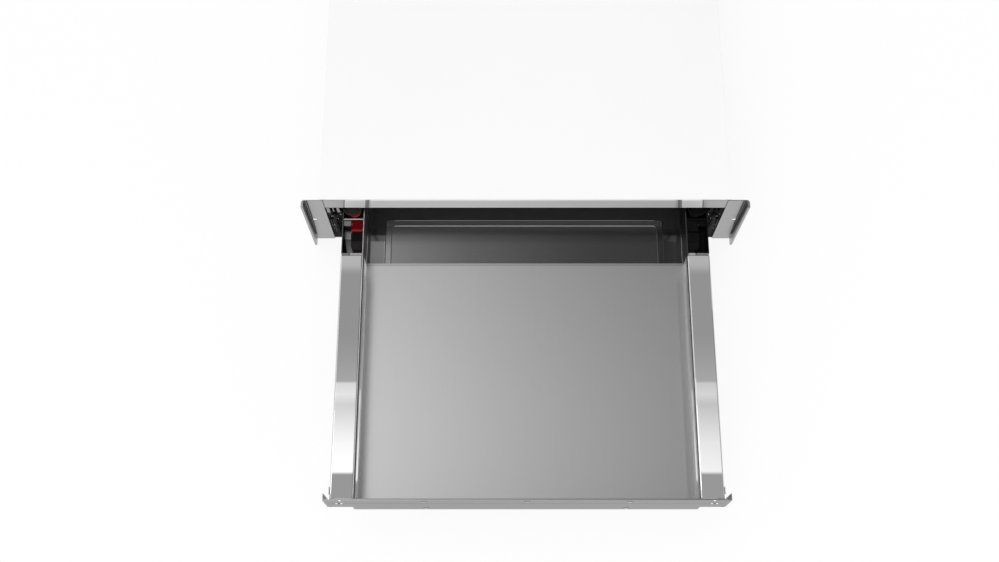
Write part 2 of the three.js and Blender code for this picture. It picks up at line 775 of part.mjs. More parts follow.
function catchBracket(side) {
  const outline = [
    ...housingOutline(SEAT_GAP).slice(2),
    [leverOuter + SEAT_GAP, housingRear],
    [bayOuter, housingRear],
    [bayOuter, trayFront + SEAT_GAP],
  ];
  return alongZ(mirror(outline, side), onTray, onTray + HOUSING_HEIGHT - HOUSING_STEP);
}

// A block with a raised front edge, hinged on its pin at the rear.
function releaseLever(side) {
  const top = leverBottom + LEVER_HEIGHT;
  const section = [
    [leverFront, leverBottom],
    [leverRear, leverBottom],
    [leverRear, top - LEVER_EDGE],
    [leverFront + 2 * LEVER_EDGE, top - LEVER_EDGE],
    [leverFront + LEVER_EDGE, top],
    [leverFront, top],
  ];
  const block = alongX(section, side * bayInner, side * leverOuter);
  const bore = rod(
    LEVER_PIN_RADIUS + SEAT_GAP, side * (bayInner - 1), side * (leverOuter + 1), pinY, pinZ,
  );
  return cut(block, [bore]);
}

function leverPin(side) {
  return rod(LEVER_PIN_RADIUS, side * trayInner, side * bayOuter, pinY, pinZ);
}

function leverBridge(side) {
  const low = bridgeTop - BRIDGE_HEIGHT;
  const bar = box(side * bayInner, side * bayOuter, bridgeFront, bridgeRear, low, bridgeTop);
  const stop = box(
    side * (leverOuter + 2 * SEAT_GAP), side * bayOuter,
    bridgeFront - STOP_LENGTH, bridgeRear, bridgeTop - STOP_HEIGHT, bridgeTop,
  );
  return join([bar, stop]);
}

function damperHub(side) {
  const profile = [[0, onTray], [HUB_RADIUS, onTray], [HUB_RADIUS, wallTop], [0, wallTop]];
  return turned(profile).translate(side * hubX, hubY, 0);
}

function damperCap(side) {
  const profile = [
    [0, 0],
    [capRadius, 0],
    [capRadius, CAP_THICKNESS - CAP_CHAMFER],
    [capRadius - CAP_CHAMFER, CAP_THICKNESS],
    [0, CAP_THICKNESS],
  ];
  return turned(profile).translate(side * hubX, hubY, capUnder);
}

addPair('mechanism_tray', mechanismTray, zincSteel);
addPair('damper_housing', damperHousing, blackPlastic);
addPair('catch_bracket', catchBracket, zincSteel);
addPair('release_lever', releaseLever, redPlastic, blackPlastic);
addPair('lever_pin', leverPin, zincSteel);
addPair('lever_bridge', leverBridge, zincSteel);
addPair('damper_hub', damperHub, redPlastic, blackPlastic);
addPair('damper_cap', damperCap, greyPlastic);

// ---------------------------------------------------------------- heating under the pan

function heatingMat() {
  const top = panUnder - SEAT_GAP;
  const half = padHalf - MAT_SIDE_MARGIN;
  const front = panFront + MAT_FRONT_MARGIN;
  return box(-half, half, front, padRear - MAT_REAR_MARGIN, top - MAT_THICKNESS, top);
}

function heatShield() {
  const top = panUnder - MAT_THICKNESS - 2 * SEAT_GAP;
  return box(-panHalf, panHalf, panFront, padRear - SHIELD_REAR_MARGIN, top - SHEET, top);
}

function thermostat() {
  const profile = [
    [0, -THERMOSTAT_HEIGHT],
    [THERMOSTAT_RADIUS - THERMOSTAT_CHAMFER, -THERMOSTAT_HEIGHT],
    [THERMOSTAT_RADIUS, THERMOSTAT_CHAMFER - THERMOSTAT_HEIGHT],
    [THERMOSTAT_RADIUS, 0],
    [0, 0],
  ];
  return turned(profile).translate(THERMOSTAT_X, padRear + THERMOSTAT_SET_BACK, panUnder - SEAT_GAP);
}

add('heating_mat', heatingMat(), matFoil);
add('heat_shield', heatShield(), zincSteel);
add('thermostat', thermostat(), blackPlastic);

// ---------------------------------------------------------------- fan

function fanHousing() {
  const inner = FAN_RADIUS - FAN_WALL;
  const seat = MOTOR_RADIUS + SEAT_GAP;
  const shell = turned([
    [inner, onBase],
    [FAN_RADIUS, onBase],
    [FAN_RADIUS, FAN_TOP],
    [inner, FAN_TOP],
    [inner, FAN_FLOOR],
    [seat, FAN_FLOOR],
    [seat, FAN_FLOOR - FAN_WALL],
    [inner, FAN_FLOOR - FAN_WALL],
    [inner, onBase],
  ]).translate(0, fanY, 0);
  const outlet = box(
    -FAN_OUTLET_WIDTH / 2, FAN_OUTLET_WIDTH / 2,
    fanY - FAN_RADIUS - 1, fanY - FAN_RADIUS / 2, FAN_OUTLET_BOTTOM, FAN_OUTLET_TOP,
  );
  return cut(shell, [outlet]);
}

function fanMotor() {
  const collar = FAN_FLOOR + SEAT_GAP;
  const collarTop = collar + MOTOR_COLLAR_HEIGHT;
  return turned([
    [0, MOTOR_BOTTOM],
    [MOTOR_RADIUS, MOTOR_BOTTOM],
    [MOTOR_RADIUS, collar],
    [MOTOR_RADIUS + MOTOR_COLLAR_REACH, collar],
    [MOTOR_RADIUS + MOTOR_COLLAR_REACH, collarTop],
    [MOTOR_RADIUS, collarTop],
    [MOTOR_RADIUS, MOTOR_TOP],
    [SHAFT_RADIUS, MOTOR_TOP],
    [SHAFT_RADIUS, SHAFT_TOP],
    [0, SHAFT_TOP],
  ]).translate(0, fanY, 0);
}

// A back plate with a sleeve on the shaft, blades round its edge and a ring on top of them.
function fanImpeller() {
  const bore = SHAFT_RADIUS + SEAT_GAP;
  const sleeve = bore + IMPELLER_SLEEVE_WALL;
  const plateTopZ = impellerBottom + IMPELLER_PLATE;
  const sleeveTop = impellerBottom + IMPELLER_SLEEVE_HEIGHT;
  const plate = turned([
    [bore, impellerBottom],
    [IMPELLER_RADIUS, impellerBottom],
    [IMPELLER_RADIUS, plateTopZ],
    [sleeve, plateTopZ],
    [sleeve, sleeveTop],
    [bore, sleeveTop],
    [bore, impellerBottom],
  ]);
  const bladeRoot = IMPELLER_RADIUS - BLADE_WIDTH;
  const ringUnder = impellerTop - IMPELLER_PLATE;
  const ring = turned([
    [bladeRoot, ringUnder],
    [IMPELLER_RADIUS, ringUnder],
    [IMPELLER_RADIUS, impellerTop],
    [bladeRoot, impellerTop],
    [bladeRoot, ringUnder],
  ]);
  const shapes = [plate, ring];
  const inPlate = IMPELLER_PLATE / 2;
  for (let i = 0; i < IMPELLER_BLADES; i += 1) {
    const blade = box(
      bladeRoot, IMPELLER_RADIUS - BLADE_SET_IN, -BLADE_THICKNESS / 2, BLADE_THICKNESS / 2,
      impellerBottom + inPlate, impellerTop - inPlate,
    );
    shapes.push(blade.rotateZ((2 * Math.PI * i) / IMPELLER_BLADES));
  }
  return join(shapes).translate(0, fanY, 0);
}

function ringHeater() {
  const middle = FAN_RADIUS - FAN_WALL - SEAT_GAP - HEATER_TUBE_RADIUS;
  const ring = new THREE.TorusGeometry(middle, HEATER_TUBE_RADIUS, 8, 36);
  return ring.translate(0, fanY, FAN_OUTLET_BOTTOM - 2 * HEATER_TUBE_RADIUS);
}

function temperatureLimiter() {
  const x0 = FAN_RADIUS + SEAT_GAP;
  const half = LIMITER_SIZE / 2;
  return box(
    x0, x0 + LIMITER_SIZE / 2, fanY - half, fanY + half,
    FAN_OUTLET_BOTTOM, FAN_OUTLET_BOTTOM + LIMITER_SIZE,
  );
}

add('fan_housing', fanHousing(), zincSteel);
add('fan_motor', fanMotor(), blackPlastic);
add('fan_impeller', fanImpeller(), aluminium);
add('ring_heater', ringHeater(), darkSteel);
add('temperature_limiter', temperatureLimiter(), blackPlastic);

// ---------------------------------------------------------------- mains connection

function terminalBox() {
  const top = onBase + TERMINAL_HEIGHT;
  const wall = TERMINAL_WALL;
  return cut(box(terminalX0, terminalX1, terminalFront, insideBack, onBase, top), [
    box(
      terminalX0 + wall, terminalX1 - wall, terminalFront + wall, insideBack - wall,
      onBase + wall, top + 1,
    ),
    drillY(GLAND_RADIUS + SEAT_GAP, glandX, GLAND_Z, insideBack - wall - 1, insideBack + 1),
  ]);
}

function terminalLid() {
  const low = onBase + TERMINAL_HEIGHT + SEAT_GAP;
  return box(terminalX0, terminalX1, terminalFront, insideBack, low, low + TERMINAL_WALL);
}

function cableGland() {
  const flange = CASING_DEPTH + SEAT_GAP;
  const inner = insideBack - TERMINAL_WALL - GLAND_INNER_REACH;
  const profile = [
    [GLAND_BORE, inner],
    [GLAND_RADIUS, inner],
    [GLAND_RADIUS, flange],
    [GLAND_FLANGE_RADIUS, flange],
    [GLAND_FLANGE_RADIUS, flange + GLAND_FLANGE_THICKNESS],
    [GLAND_RADIUS, rearmost],
    [GLAND_BORE, rearmost],
    [GLAND_BORE, inner],
  ];
  const ring = new THREE.LatheGeometry(profile.map(([r, y]) => new THREE.Vector2(r, y)), ROUND_SIDES);
  return ring.translate(glandX, 0, GLAND_Z);
}

add('terminal_box', terminalBox(), blackPlastic);
add('terminal_lid', terminalLid(), blackPlastic);
add('cable_gland', cableGland(), blackPlastic);

export default warmingDrawer;
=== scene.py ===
"""Looks of a built-in warming drawer, drawn out on its rails, without a furniture front.

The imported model's frame is in metres: +X right, +Y into the cabinet, +Z up. The parts made here
are drawn in millimetres, with Y counted from the front frame's face, and brought into that frame.
"""

import math

import bmesh
import bpy
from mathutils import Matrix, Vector


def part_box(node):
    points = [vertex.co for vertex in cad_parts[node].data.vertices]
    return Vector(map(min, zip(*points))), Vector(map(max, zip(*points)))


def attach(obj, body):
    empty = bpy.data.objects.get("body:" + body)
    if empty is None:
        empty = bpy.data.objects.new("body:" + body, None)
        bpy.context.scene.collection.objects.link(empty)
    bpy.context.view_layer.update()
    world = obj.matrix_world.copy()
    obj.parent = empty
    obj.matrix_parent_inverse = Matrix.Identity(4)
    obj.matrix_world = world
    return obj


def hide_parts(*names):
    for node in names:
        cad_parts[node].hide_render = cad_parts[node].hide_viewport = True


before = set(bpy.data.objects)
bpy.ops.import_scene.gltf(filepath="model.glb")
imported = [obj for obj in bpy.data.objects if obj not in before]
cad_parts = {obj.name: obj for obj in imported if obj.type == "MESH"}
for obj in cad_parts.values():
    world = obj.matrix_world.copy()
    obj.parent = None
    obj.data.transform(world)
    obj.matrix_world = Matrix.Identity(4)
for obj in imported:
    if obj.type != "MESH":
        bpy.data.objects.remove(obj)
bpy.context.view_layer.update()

MM = 0.001
SIDES = {"left": -1, "right": 1}
frame_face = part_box("frame_crossbar")[0].y


def in_scene(name, data):
    """A new object with that data, linked into the scene."""
    made = bpy.data.objects.new(name, data)
    bpy.context.scene.collection.objects.link(made)
    return made


# ------------------------------------------------------------------ camera

IMAGE_WIDTH = 999
FOCAL_PIXELS = 1208
SENSOR_WIDTH = 36
CAMERA_PLACE = (-0.0342, -0.7108, 1.607)
CAMERA_PITCH_DOWN = 70.5


def make_camera():
    data = bpy.data.cameras.new("photo_camera")
    data.sensor_width = SENSOR_WIDTH
    data.lens = FOCAL_PIXELS / IMAGE_WIDTH * SENSOR_WIDTH
    camera = in_scene("photo_camera", data)
    camera.location = CAMERA_PLACE
    camera.rotation_euler = (math.radians(90 - CAMERA_PITCH_DOWN), 0, 0)
    bpy.context.scene.camera = camera


make_camera()
bpy.context.scene.view_settings.view_transform = "Standard"

# ------------------------------------------------------------------ node trees

GRAIN_LINES = 900.0  # cells per metre across the grinding lines of sheet metal
GRAIN_RUN = 12.0  # and along them
GRAIN_RELIEF = 2e-6  # metres, like every other relief
BLACK = (0, 0, 0, 1)
WHITE = (1, 1, 1, 1)


class Value:
    """A socket whose number can be used in an expression."""

    def __init__(self, tree, socket):
        self.tree = tree
        self.socket = socket

    def maths(self, operation, first, second):
        return self.tree.node("ShaderNodeMath", {"operation": operation}, {0: first, 1: second})

    def __add__(self, other):
        return self.maths("ADD", self, other)

    def __radd__(self, other):
        return self.maths("ADD", other, self)

    def __sub__(self, other):
        return self.maths("SUBTRACT", self, other)

    def __rsub__(self, other):
        return self.maths("SUBTRACT", other, self)

    def __mul__(self, other):
        return self.maths("MULTIPLY", self, other)

    def __rmul__(self, other):
        return self.maths("MULTIPLY", other, self)

    def __truediv__(self, other):
        return self.maths("DIVIDE", self, other)

    def __abs__(self):
        return self.maths("ABSOLUTE", self, 0.0)


class Tree:
    """Adds nodes to the tree of a material, the world or a Geometry Nodes group."""

    def __init__(self, node_tree):
        self.made = node_tree

    def node(self, kind, settings=None, values=None, output=0):
        """A node of that type, with its settings and the values or links of its sockets."""
        node = self.made.nodes.new(kind)
        for name, setting in (settings or {}).items():
            setattr(node, name, setting)
        for name, value in (values or {}).items():
            given = value if isinstance(value, list) else [value]
            for each in given:
                if isinstance(each, Value):
                    self.made.links.new(each.socket, node.inputs[name])
                else:
                    node.inputs[name].default_value = each
        return Value(self, node.outputs[output]) if node.outputs else None

    def blend(self, first, second, share):
        """The colour between two colours."""
        return self.node(
            "ShaderNodeMix", {"data_type": "RGBA"}, {0: share, 6: first, 7: second}, output=2
        )

    def ramp(self, number, low, high, to_low=0.0, to_high=1.0, shape="SMOOTHSTEP"):
        """A number going from to_low at low to to_high at high."""
        return self.node(
            "ShaderNodeMapRange",
            {"interpolation_type": shape},
            {"Value": number, 1: low, 2: high, 3: to_low, 4: to_high},
        )

    def profile(self, number, stops):
        """Straight lines through the stops (place, level), level beyond the first and the last."""
        total = stops[0][1]
        for (low, from_level), (high, to_level) in zip(stops, stops[1:]):
            total = total + self.ramp(number, low, high, 0.0, to_level - from_level, "LINEAR")
        return total

    def noise(self, place, stretch, detail=2.0):
        """Noise with its own frequency along X, Y and Z, in cells per metre."""
        stretched = self.node("ShaderNodeMapping", {}, {"Vector": place, "Scale": stretch})
        return self.node("ShaderNodeTexNoise", {}, {"Vector": stretched, "Scale": 1.0, "Detail": detail})

    def cloud(self, place, cells, detail=2.0):
        """Noise with as many cells per metre every way."""
        return self.noise(place, (cells, cells, cells), detail)

    def grain(self, place, along):
        """Fine grinding lines that run along one axis."""
        stretch = tuple(GRAIN_RUN if axis == along else GRAIN_LINES for axis in "XYZ")
        return self.noise(place, stretch)

    def axis(self, vector, name):
        """One coordinate of a vector."""
        return self.node("ShaderNodeSeparateXYZ", {}, {"Vector": vector}, output=name)


def emptied_tree(owner):
    """The cleared node tree of a material or the world."""
    owner.use_nodes = True
    owner.node_tree.nodes.clear()
    return Tree(owner.node_tree)


def grey(level):
    return (level, level, level)


def opaque(colour):
    return (*colour, 1.0)


def shade(colour, factor):
    return opaque(tuple(min(1.0, part * factor) for part in colour))


# ------------------------------------------------------------------ finishes


def finish(describe):
    """Makes a description of Principled sockets into a maker of named materials."""

    def make(name, *given, **settings):
        material = bpy.data.materials.new(name)
        tree = emptied_tree(material)
        place = tree.node("ShaderNodeTexCoord", output="Object")
        sockets = describe(tree, place, *given, **settings)
        shader = tree.node("ShaderNodeBsdfPrincipled", {}, sockets)
        tree.node("ShaderNodeOutputMaterial", {}, {"Surface": shader})
        return material

    return make


def bump(tree, height, distance):
    return tree.node("ShaderNodeBump", {}, {"Height": height, "Distance": distance})


@finish
def brushed(tree, place, colour, roughness, along, contrast=0.05):
    """Ground sheet metal: fine lines along one axis over a faint slow cloudiness."""
    grain = tree.grain(place, along)
    mixed = 0.7 * grain + 0.3 * tree.cloud(place, 7.0)
    tint = tree.ramp(mixed, 0.25, 0.75)
    return {
        "Base Color": tree.blend(shade(colour, 1 - contrast), shade(colour, 1 + contrast), tint),
        "Metallic": 1.0,
        "Roughness": roughness + 0.05 * (mixed - 0.5),
        "Normal": bump(tree, grain, GRAIN_RELIEF),
    }


PLATE_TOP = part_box("front_mounting_plate")[1].z
# How much lighter the painted highlight along the front plate's top edge is.
TOP_EDGE_HIGHLIGHT = 2.5


@finish
def highlighted_plate_sheet(tree, place, colour, roughness):
    """Ground front plate with a painted highlight: its top edge is drawn lighter than its face."""
    grain = tree.grain(place, "X")
    face = tree.blend(shade(colour, 0.97), shade(colour, 1.03), grain)
    # Painted highlight: a band along the plate's top edge is drawn lighter.
    painted_top_highlight = tree.ramp(tree.axis(place, "Z"), PLATE_TOP - 0.5 * MM, PLATE_TOP - 0.2 * MM)
    return {
        "Base Color": tree.blend(face, shade(colour, TOP_EDGE_HIGHLIGHT), painted_top_highlight),
        "Metallic": 1.0,
        "Roughness": roughness + 0.05 * (grain - 0.5),
        "Normal": bump(tree, grain, GRAIN_RELIEF),
    }


def wiping_marks(tree, place):
    """How much rougher faint wiping marks make polished sheet."""
    return 0.006 * tree.ramp(tree.noise(place, (30.0, 8.0, 30.0), 4.0), 0.45, 0.7)


@finish
def polished(tree, place, colour, roughness):
    """Bright sheet metal with faint wiping marks."""
    tint = tree.ramp(tree.cloud(place, 5.0), 0.3, 0.7)
    return {
        "Base Color": tree.blend(shade(colour, 0.985), shade(colour, 1.015), tint),
        "Metallic": 1.0,
        "Roughness": roughness + wiping_marks(tree, place),
    }


COVER_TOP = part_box("side_cover_left")[1].z
COVER_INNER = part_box("side_cover_right")[0].x
COVER_BEND = 3.2 * MM
COVER_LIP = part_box("side_cover_left")[1].y - 4.1 * MM
# Painted light on the inner flanges: the left cover's flange is drawn lit, the right one's shaded.
FLANGE_LIGHT_AND_SHADE = {"left": 1.65, "right": 0.72}


@finish
def folded_cover(tree, place, colour, roughness):
    """A side cover: polished on top and satin down its inner flange, with painted shade along its inner bend,
    just under it and on its rear lip; its flange is painted lighter on the left cover and darker on the
    right.
    """
    brightest = max(FLANGE_LIGHT_AND_SHADE.values())
    flange_stops = [(SIDES[side] * COVER_INNER, tone) for side, tone in FLANGE_LIGHT_AND_SHADE.items()]
    across = tree.axis(place, "X")
    inset = abs(across) - COVER_INNER
    below_top = COVER_TOP - tree.axis(place, "Z")
    flange = tree.ramp(below_top, COVER_BEND, COVER_BEND + 0.6 * MM)
    flange = flange * tree.ramp(inset, 3.0 * MM, 2.0 * MM)
    # Painted shade: a dark line along the inner bend, leaving its very edge light.
    bend = tree.ramp(below_top, 0.15 * MM, 0.4 * MM) * tree.ramp(inset, 4.0 * MM, 3.0 * MM)
    bend = bend * (1 - flange)
    edge = bend * tree.ramp(inset, 1.0 * MM, 1.4 * MM)
    along = tree.axis(place, "Y")
    # Painted shade: the rear lip a little darker, and darker still along its bend.
    lip = tree.ramp(along, COVER_LIP - 0.2 * MM, COVER_LIP + 0.2 * MM)
    lip_shade_line = tree.ramp(abs(along - COVER_LIP), 0.5 * MM, 0.8 * MM, 1.0, 0.0)
    flange_light = tree.profile(across, flange_stops)
    # Painted shade: the flange darker just under the bend.
    flange_light = flange_light * tree.ramp(below_top, COVER_BEND, COVER_BEND + 4.0 * MM, 0.3, 1.0)
    tone = (1 - flange) * (1 - 0.85 * (bend - edge)) + flange * flange_light
    tone = tone * (1 - 0.2 * lip) * (1 - 0.6 * lip_shade_line)
    return {
        "Base Color": tree.blend(BLACK, shade(colour, brightest), tone / brightest),
        "Metallic": 1.0 - 0.75 * flange - edge,
        "Roughness": roughness + wiping_marks(tree, place) + 0.4 * (flange + edge),
    }


CROSSBAR_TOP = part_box("frame_crossbar")[1].z
CROSSBAR_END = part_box("frame_crossbar")[1].x
JOINT_AT, GROOVE_OUTER, GROOVE_INNER = 237.5 * MM, 208.7 * MM, 205.0 * MM
SEAM_WIDTH = 1.1 * MM
SEAM_SHIFT = 2.1 * MM  # both seams lie this much further left than the middle plane has them
SEAM_SLANT = 0.133


@finish
def seamed(tree, place, colour, roughness):
    """The crossbar's sheet: a ground middle length and duller ends, with the seams between them; the middle
    is painted lighter on the left than on the right, with painted shade along the middle's side of each
    groove.
    """
    across = tree.axis(place, "X")
    below_top = CROSSBAR_TOP - tree.axis(place, "Z")
    from_middle = abs(across + SEAM_SHIFT) - SEAM_SLANT * below_top
    grain = tree.grain(place, "X")
    # Painted light: the middle length lighter on the left, darker on the right.
    middle_light_across = tree.profile(across, [(-GROOVE_INNER, 1.12), (GROOVE_INNER, 0.8)])
    end_tone = tree.profile(from_middle, [(JOINT_AT - 0.5 * MM, 0.98), (JOINT_AT, 0.5)])
    at_end = tree.ramp(from_middle, GROOVE_INNER, GROOVE_OUTER)
    tone = middle_light_across + at_end * (end_tone - middle_light_across)
    joint = tree.ramp(abs(from_middle - JOINT_AT), SEAM_WIDTH / 2, SEAM_WIDTH, 1.0, 0.0)
    groove_middle = (GROOVE_OUTER + GROOVE_INNER) / 2
    groove = tree.ramp(abs(from_middle - groove_middle), SEAM_WIDTH * 2.1, SEAM_WIDTH * 2.7, 1.0, 0.0)
    # Painted shade along the middle's side of each groove, strongest next to it.
    beside = tree.ramp(from_middle, GROOVE_INNER - 7.0 * MM, GROOVE_INNER) * (1 - at_end)
    end_line = tree.ramp(abs(across), CROSSBAR_END - 1.4 * MM, CROSSBAR_END - 0.9 * MM)
    tone = tone * (1 - 0.5 * end_line)
    level = tone * (1 - 0.62 * (joint + groove)) * (1 - 0.3 * beside) * (0.97 + 0.06 * grain)
    return {
        "Base Color": tree.blend(BLACK, opaque(colour), level),
        "Metallic": 0.3,
        "Roughness": roughness + 0.04 * (grain - 0.5),
        "Normal": bump(tree, grain, GRAIN_RELIEF),
    }


# The raised heating zone's half width and rear edge, in millimetres, at its foot and at its crest.
ZONE_FOOT = (190.6, 2.3)
ZONE_CREST = (182.4, -6.2)
# The pan's painted reflection across it, lighter on the left and darker on the right, as (place, tone), and
# the painted highlights and shade down the zone's rear slope, as (distance from its foot's rear, tone).
PAN_PAINTED_REFLECTION = [(-0.193, 0.68), (-0.19, 1.3), (-0.08, 0.82), (0.05, 0.52), (0.11, 0.43), (0.2, 0.4)]
SLOPE_PAINTED_REFLECTION = [(0.0082, 2.2), (0.0088, 1.5), (0.013, 1.25), (0.019, 0.8), (0.03, 0.8), (0.037, 1.0)]


@finish
def heated_sheet(tree, place, rim, zone, rim_roughness, zone_roughness):
    """The pan's sheet: polished around its rim, lighter and satin over the raised heating zone; a painted
    reflection fades from left to right towards the front, and painted highlights and shade run down the
    zone's rear slope.
    """
    half, rear = ZONE_FOOT[0] * MM, frame_face + ZONE_FOOT[1] * MM
    edge = 0.6 * MM
    brightest = max(tone for place, tone in PAN_PAINTED_REFLECTION + SLOPE_PAINTED_REFLECTION)
    grain = tree.grain(place, "X")
    across = tree.axis(place, "X")
    from_rear = rear - tree.axis(place, "Y")
    heated = tree.ramp(abs(across), half, half - edge) * tree.ramp(from_rear, 0.0, edge)
    towards_front = tree.ramp(from_rear, 8.0 * MM, 22.0 * MM)
    # Painted reflection across the pan, from the zone's rear slope forwards.
    tone = 1.0 + towards_front * (tree.profile(across, PAN_PAINTED_REFLECTION) - 1.0)
    tone = tone * (1.0 + heated * (tree.profile(from_rear, SLOPE_PAINTED_REFLECTION) - 1.0))
    colour = tree.blend(shade(rim, brightest), shade(zone, brightest), heated)
    return {
        "Base Color": tree.blend(BLACK, colour, tone * (0.97 + 0.06 * grain) / brightest),
        "Metallic": 0.88,
        "Roughness": rim_roughness + (zone_roughness - rim_roughness) * heated + 0.01 * (grain - 0.5),
    }


@finish
def pressed_bead(tree, place, colour):
    """A fine bead, lit along the zone's rear and painted darker along its flanks: painted shade."""
    grain = tree.grain(place, "X")
    from_middle = abs(tree.axis(place, "X"))
    # Painted shade: the bead darker along the zone's flanks.
    tone = tree.ramp(from_middle, (ZONE_CREST[0] - 5) * MM, (ZONE_CREST[0] - 2) * MM, 1.0, 0.2)
    return {
        "Base Color": tree.blend(BLACK, opaque(colour), tone * (0.95 + 0.1 * (grain - 0.5))),
        "Metallic": 1.0,
        "Roughness": 0.35 + 0.05 * (grain - 0.5),
    }


FLOOR_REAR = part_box("floor_plate")[1].y


@finish
def edged_sheet(tree, place, colour, roughness):
    """The floor plate's sheet, with a fine darker line a few millimetres in from its rear edge."""
    brightest = 1.05
    mixed = 0.7 * tree.grain(place, "Y") + 0.3 * tree.cloud(place, 7.0)
    from_rear = FLOOR_REAR - tree.axis(place, "Y")
    line = tree.ramp(from_rear, 0.9 * MM, 1.6 * MM) * tree.ramp(from_rear, 4.4 * MM, 3.0 * MM)
    tone = (1 - 0.26 * line) * (0.988 + 0.024 * tree.ramp(mixed, 0.25, 0.75))
    return {
        "Base Color": tree.blend(BLACK, shade(colour, brightest), tone / brightest),
        "Metallic": 1.0,
        "Roughness": roughness + 0.02 * (mixed - 0.5),
    }


@finish
def zinc_plated(tree, place, colour, roughness=0.42):
    """Galvanised sheet with its small crystals."""
    warp = tree.cloud(place, 120.0)
    crystal = tree.node(
        "ShaderNodeTexVoronoi", {"feature": "F1"}, {"Vector": place, "Scale": 210.0}, output="Color"
    )
    tone = tree.node("ShaderNodeRGBToBW", {}, {"Color": crystal})
    cell = 0.8 * tone + 0.2 * warp
    return {
        "Base Color": tree.blend(shade(colour, 0.92), shade(colour, 1.06), cell),
        "Metallic": 1.0,
        "Roughness": roughness + 0.12 * (cell - 0.5),
        "Normal": bump(tree, cell, 6e-6),
    }


@finish
def moulded(tree, place, colour, roughness, gloss=0.5):
    """Moulded plastic with a fine eroded texture and rubbed patches."""
    fine = tree.cloud(place, 1400.0, 3.0)
    rubbed = tree.ramp(tree.cloud(place, 60.0, 3.0), 0.5, 0.75)
    return {
        "Base Color": tree.blend(opaque(colour), shade(colour, 1.35), rubbed),
        "Roughness": roughness + 0.1 * (fine - 0.5) - 0.08 * rubbed,
        "Specular IOR Level": gloss,
        "Normal": bump(tree, fine, 1.2e-5),
    }


@finish
def powder_coated(tree, place, colour):
    """White powder coat, with its orange peel."""
    peel = tree.cloud(place, 420.0, 1.0)
    return {
        "Base Color": tree.blend(shade(colour, 0.99), shade(colour, 1.01), tree.cloud(place, 6.0)),
        "Roughness": 0.5 + 0.06 * (peel - 0.5),
        "Normal": bump(tree, peel, 1.5e-5),
    }


@finish
def heating_foil(tree, place):
    """Laminated foil with the heating tracks in bands along it."""
    bands = 35.0
    ground = (0.42, 0.27, 0.12)
    track = (0.62, 0.6, 0.56)
    wave = tree.node(
        "ShaderNodeTexWave",
        {"wave_type": "BANDS", "bands_direction": "X", "wave_profile": "TRI"},
        {"Vector": place, "Scale": bands, "Distortion": 0.0},
        output="Fac",
    )
    line = tree.ramp(wave, 0.72, 0.8)
    return {
        "Base Color": tree.blend(opaque(ground), opaque(track), line),
        "Metallic": 0.8 * line,
        "Roughness": 0.45 - 0.1 * line,
        "Normal": bump(tree, line, 4e-5),
    }


floor_steel = edged_sheet("floor_plate_steel", grey(0.56), 0.28)
shaded_steel = brushed("shaded_wall_steel", grey(0.1), 0.3, "Y")
sheet_steel = brushed("drawer_sheet_steel", (0.5, 0.5, 0.495), 0.3, "Y")
frame_steel = brushed("frame_steel", grey(0.38), 0.34, "X", contrast=0.03)
crossbar_steel = seamed("crossbar_steel", grey(0.76), 0.5)
plate_steel = highlighted_plate_sheet("front_plate_steel", grey(0.2), 0.34)
cover_steel = folded_cover("polished_cover_steel", grey(0.6), 0.007)
pan_steel = heated_sheet("dark_pan_steel", grey(0.18), grey(0.2), 0.09, 0.26)
rim_steel = polished("well_rim_steel", grey(0.5), 0.02)
edge_steel = brushed("edge_steel", (0.62, 0.62, 0.61), 0.3, "X")
zinc = zinc_plated("zinc_plated_sheet", (0.5, 0.505, 0.51))
rail_zinc = zinc_plated("zinc_plated_rail", grey(0.6), 0.3)
# The mechanism tray's zinc, darkened as painted shade in the bay.
shaded_tray_zinc = zinc_plated("darkened_tray_zinc", (0.11, 0.108, 0.106), 0.4)
bright_steel = polished("bright_steel", (0.85, 0.85, 0.84), 0.12)
white_coat = powder_coated("white_powder_coat", grey(0.9))
grey_coat = powder_coated("grey_powder_coat", grey(0.6))
black_plastic = moulded("black_moulded_plastic", grey(0.006), 0.5, gloss=0.2)
dull_black = moulded("dull_black_plastic", grey(0.004), 0.7, gloss=0.08)
housing_plastic = moulded("housing_plastic", (0.014, 0.012, 0.012), 0.6, gloss=0.06)
cap_plastic = moulded("cap_plastic", (0.02, 0.02, 0.019), 0.5, gloss=0.1)
# Dark rubber for the ribs along the forward lips: a painted reflection.
seal_rubber = moulded("seal_rubber", grey(0.075), 0.6, gloss=0.2)
grey_plastic = moulded("grey_moulded_plastic", (0.14, 0.14, 0.138), 0.5, gloss=0.3)
# The release lever's red is a shaded copy of the bright red: painted shade in the bay.
red_plastic = moulded("red_moulded_plastic", (0.085, 0.0004, 0.001), 0.5, gloss=0.04)
bright_red = moulded("bright_red_plastic", (0.26, 0.013, 0.014), 0.45, gloss=0.1)
# Near-white plastic for dots and studs that stand in for glints: painted highlights.
stud_plastic = moulded("stud_plastic", grey(0.85), 0.4)
strap_steel = brushed("strap_steel", (0.5, 0.49, 0.48), 0.35, "X")
catch_steel = polished("dished_catch_steel", grey(0.2), 0.25)
dark_wire = polished("dark_spring_wire", grey(0.09), 0.2)
guide_steel = polished("guide_post_steel", grey(0.24), 0.3)
foot_steel = pressed_bead("zone_foot_steel", grey(0.45))
# The crest's bead is a lighter copy of the foot's steel: its near-white is a painted highlight.
crest_highlight_steel = pressed_bead("zone_crest_steel", grey(0.95))
cast_aluminium = brushed("wheel_aluminium", (0.62, 0.63, 0.64), 0.45, "Z")
heater_steel = brushed("oxidised_heater_steel", (0.16, 0.14, 0.12), 0.5, "Z", contrast=0.25)
foil = heating_foil("laminated_heating_foil")

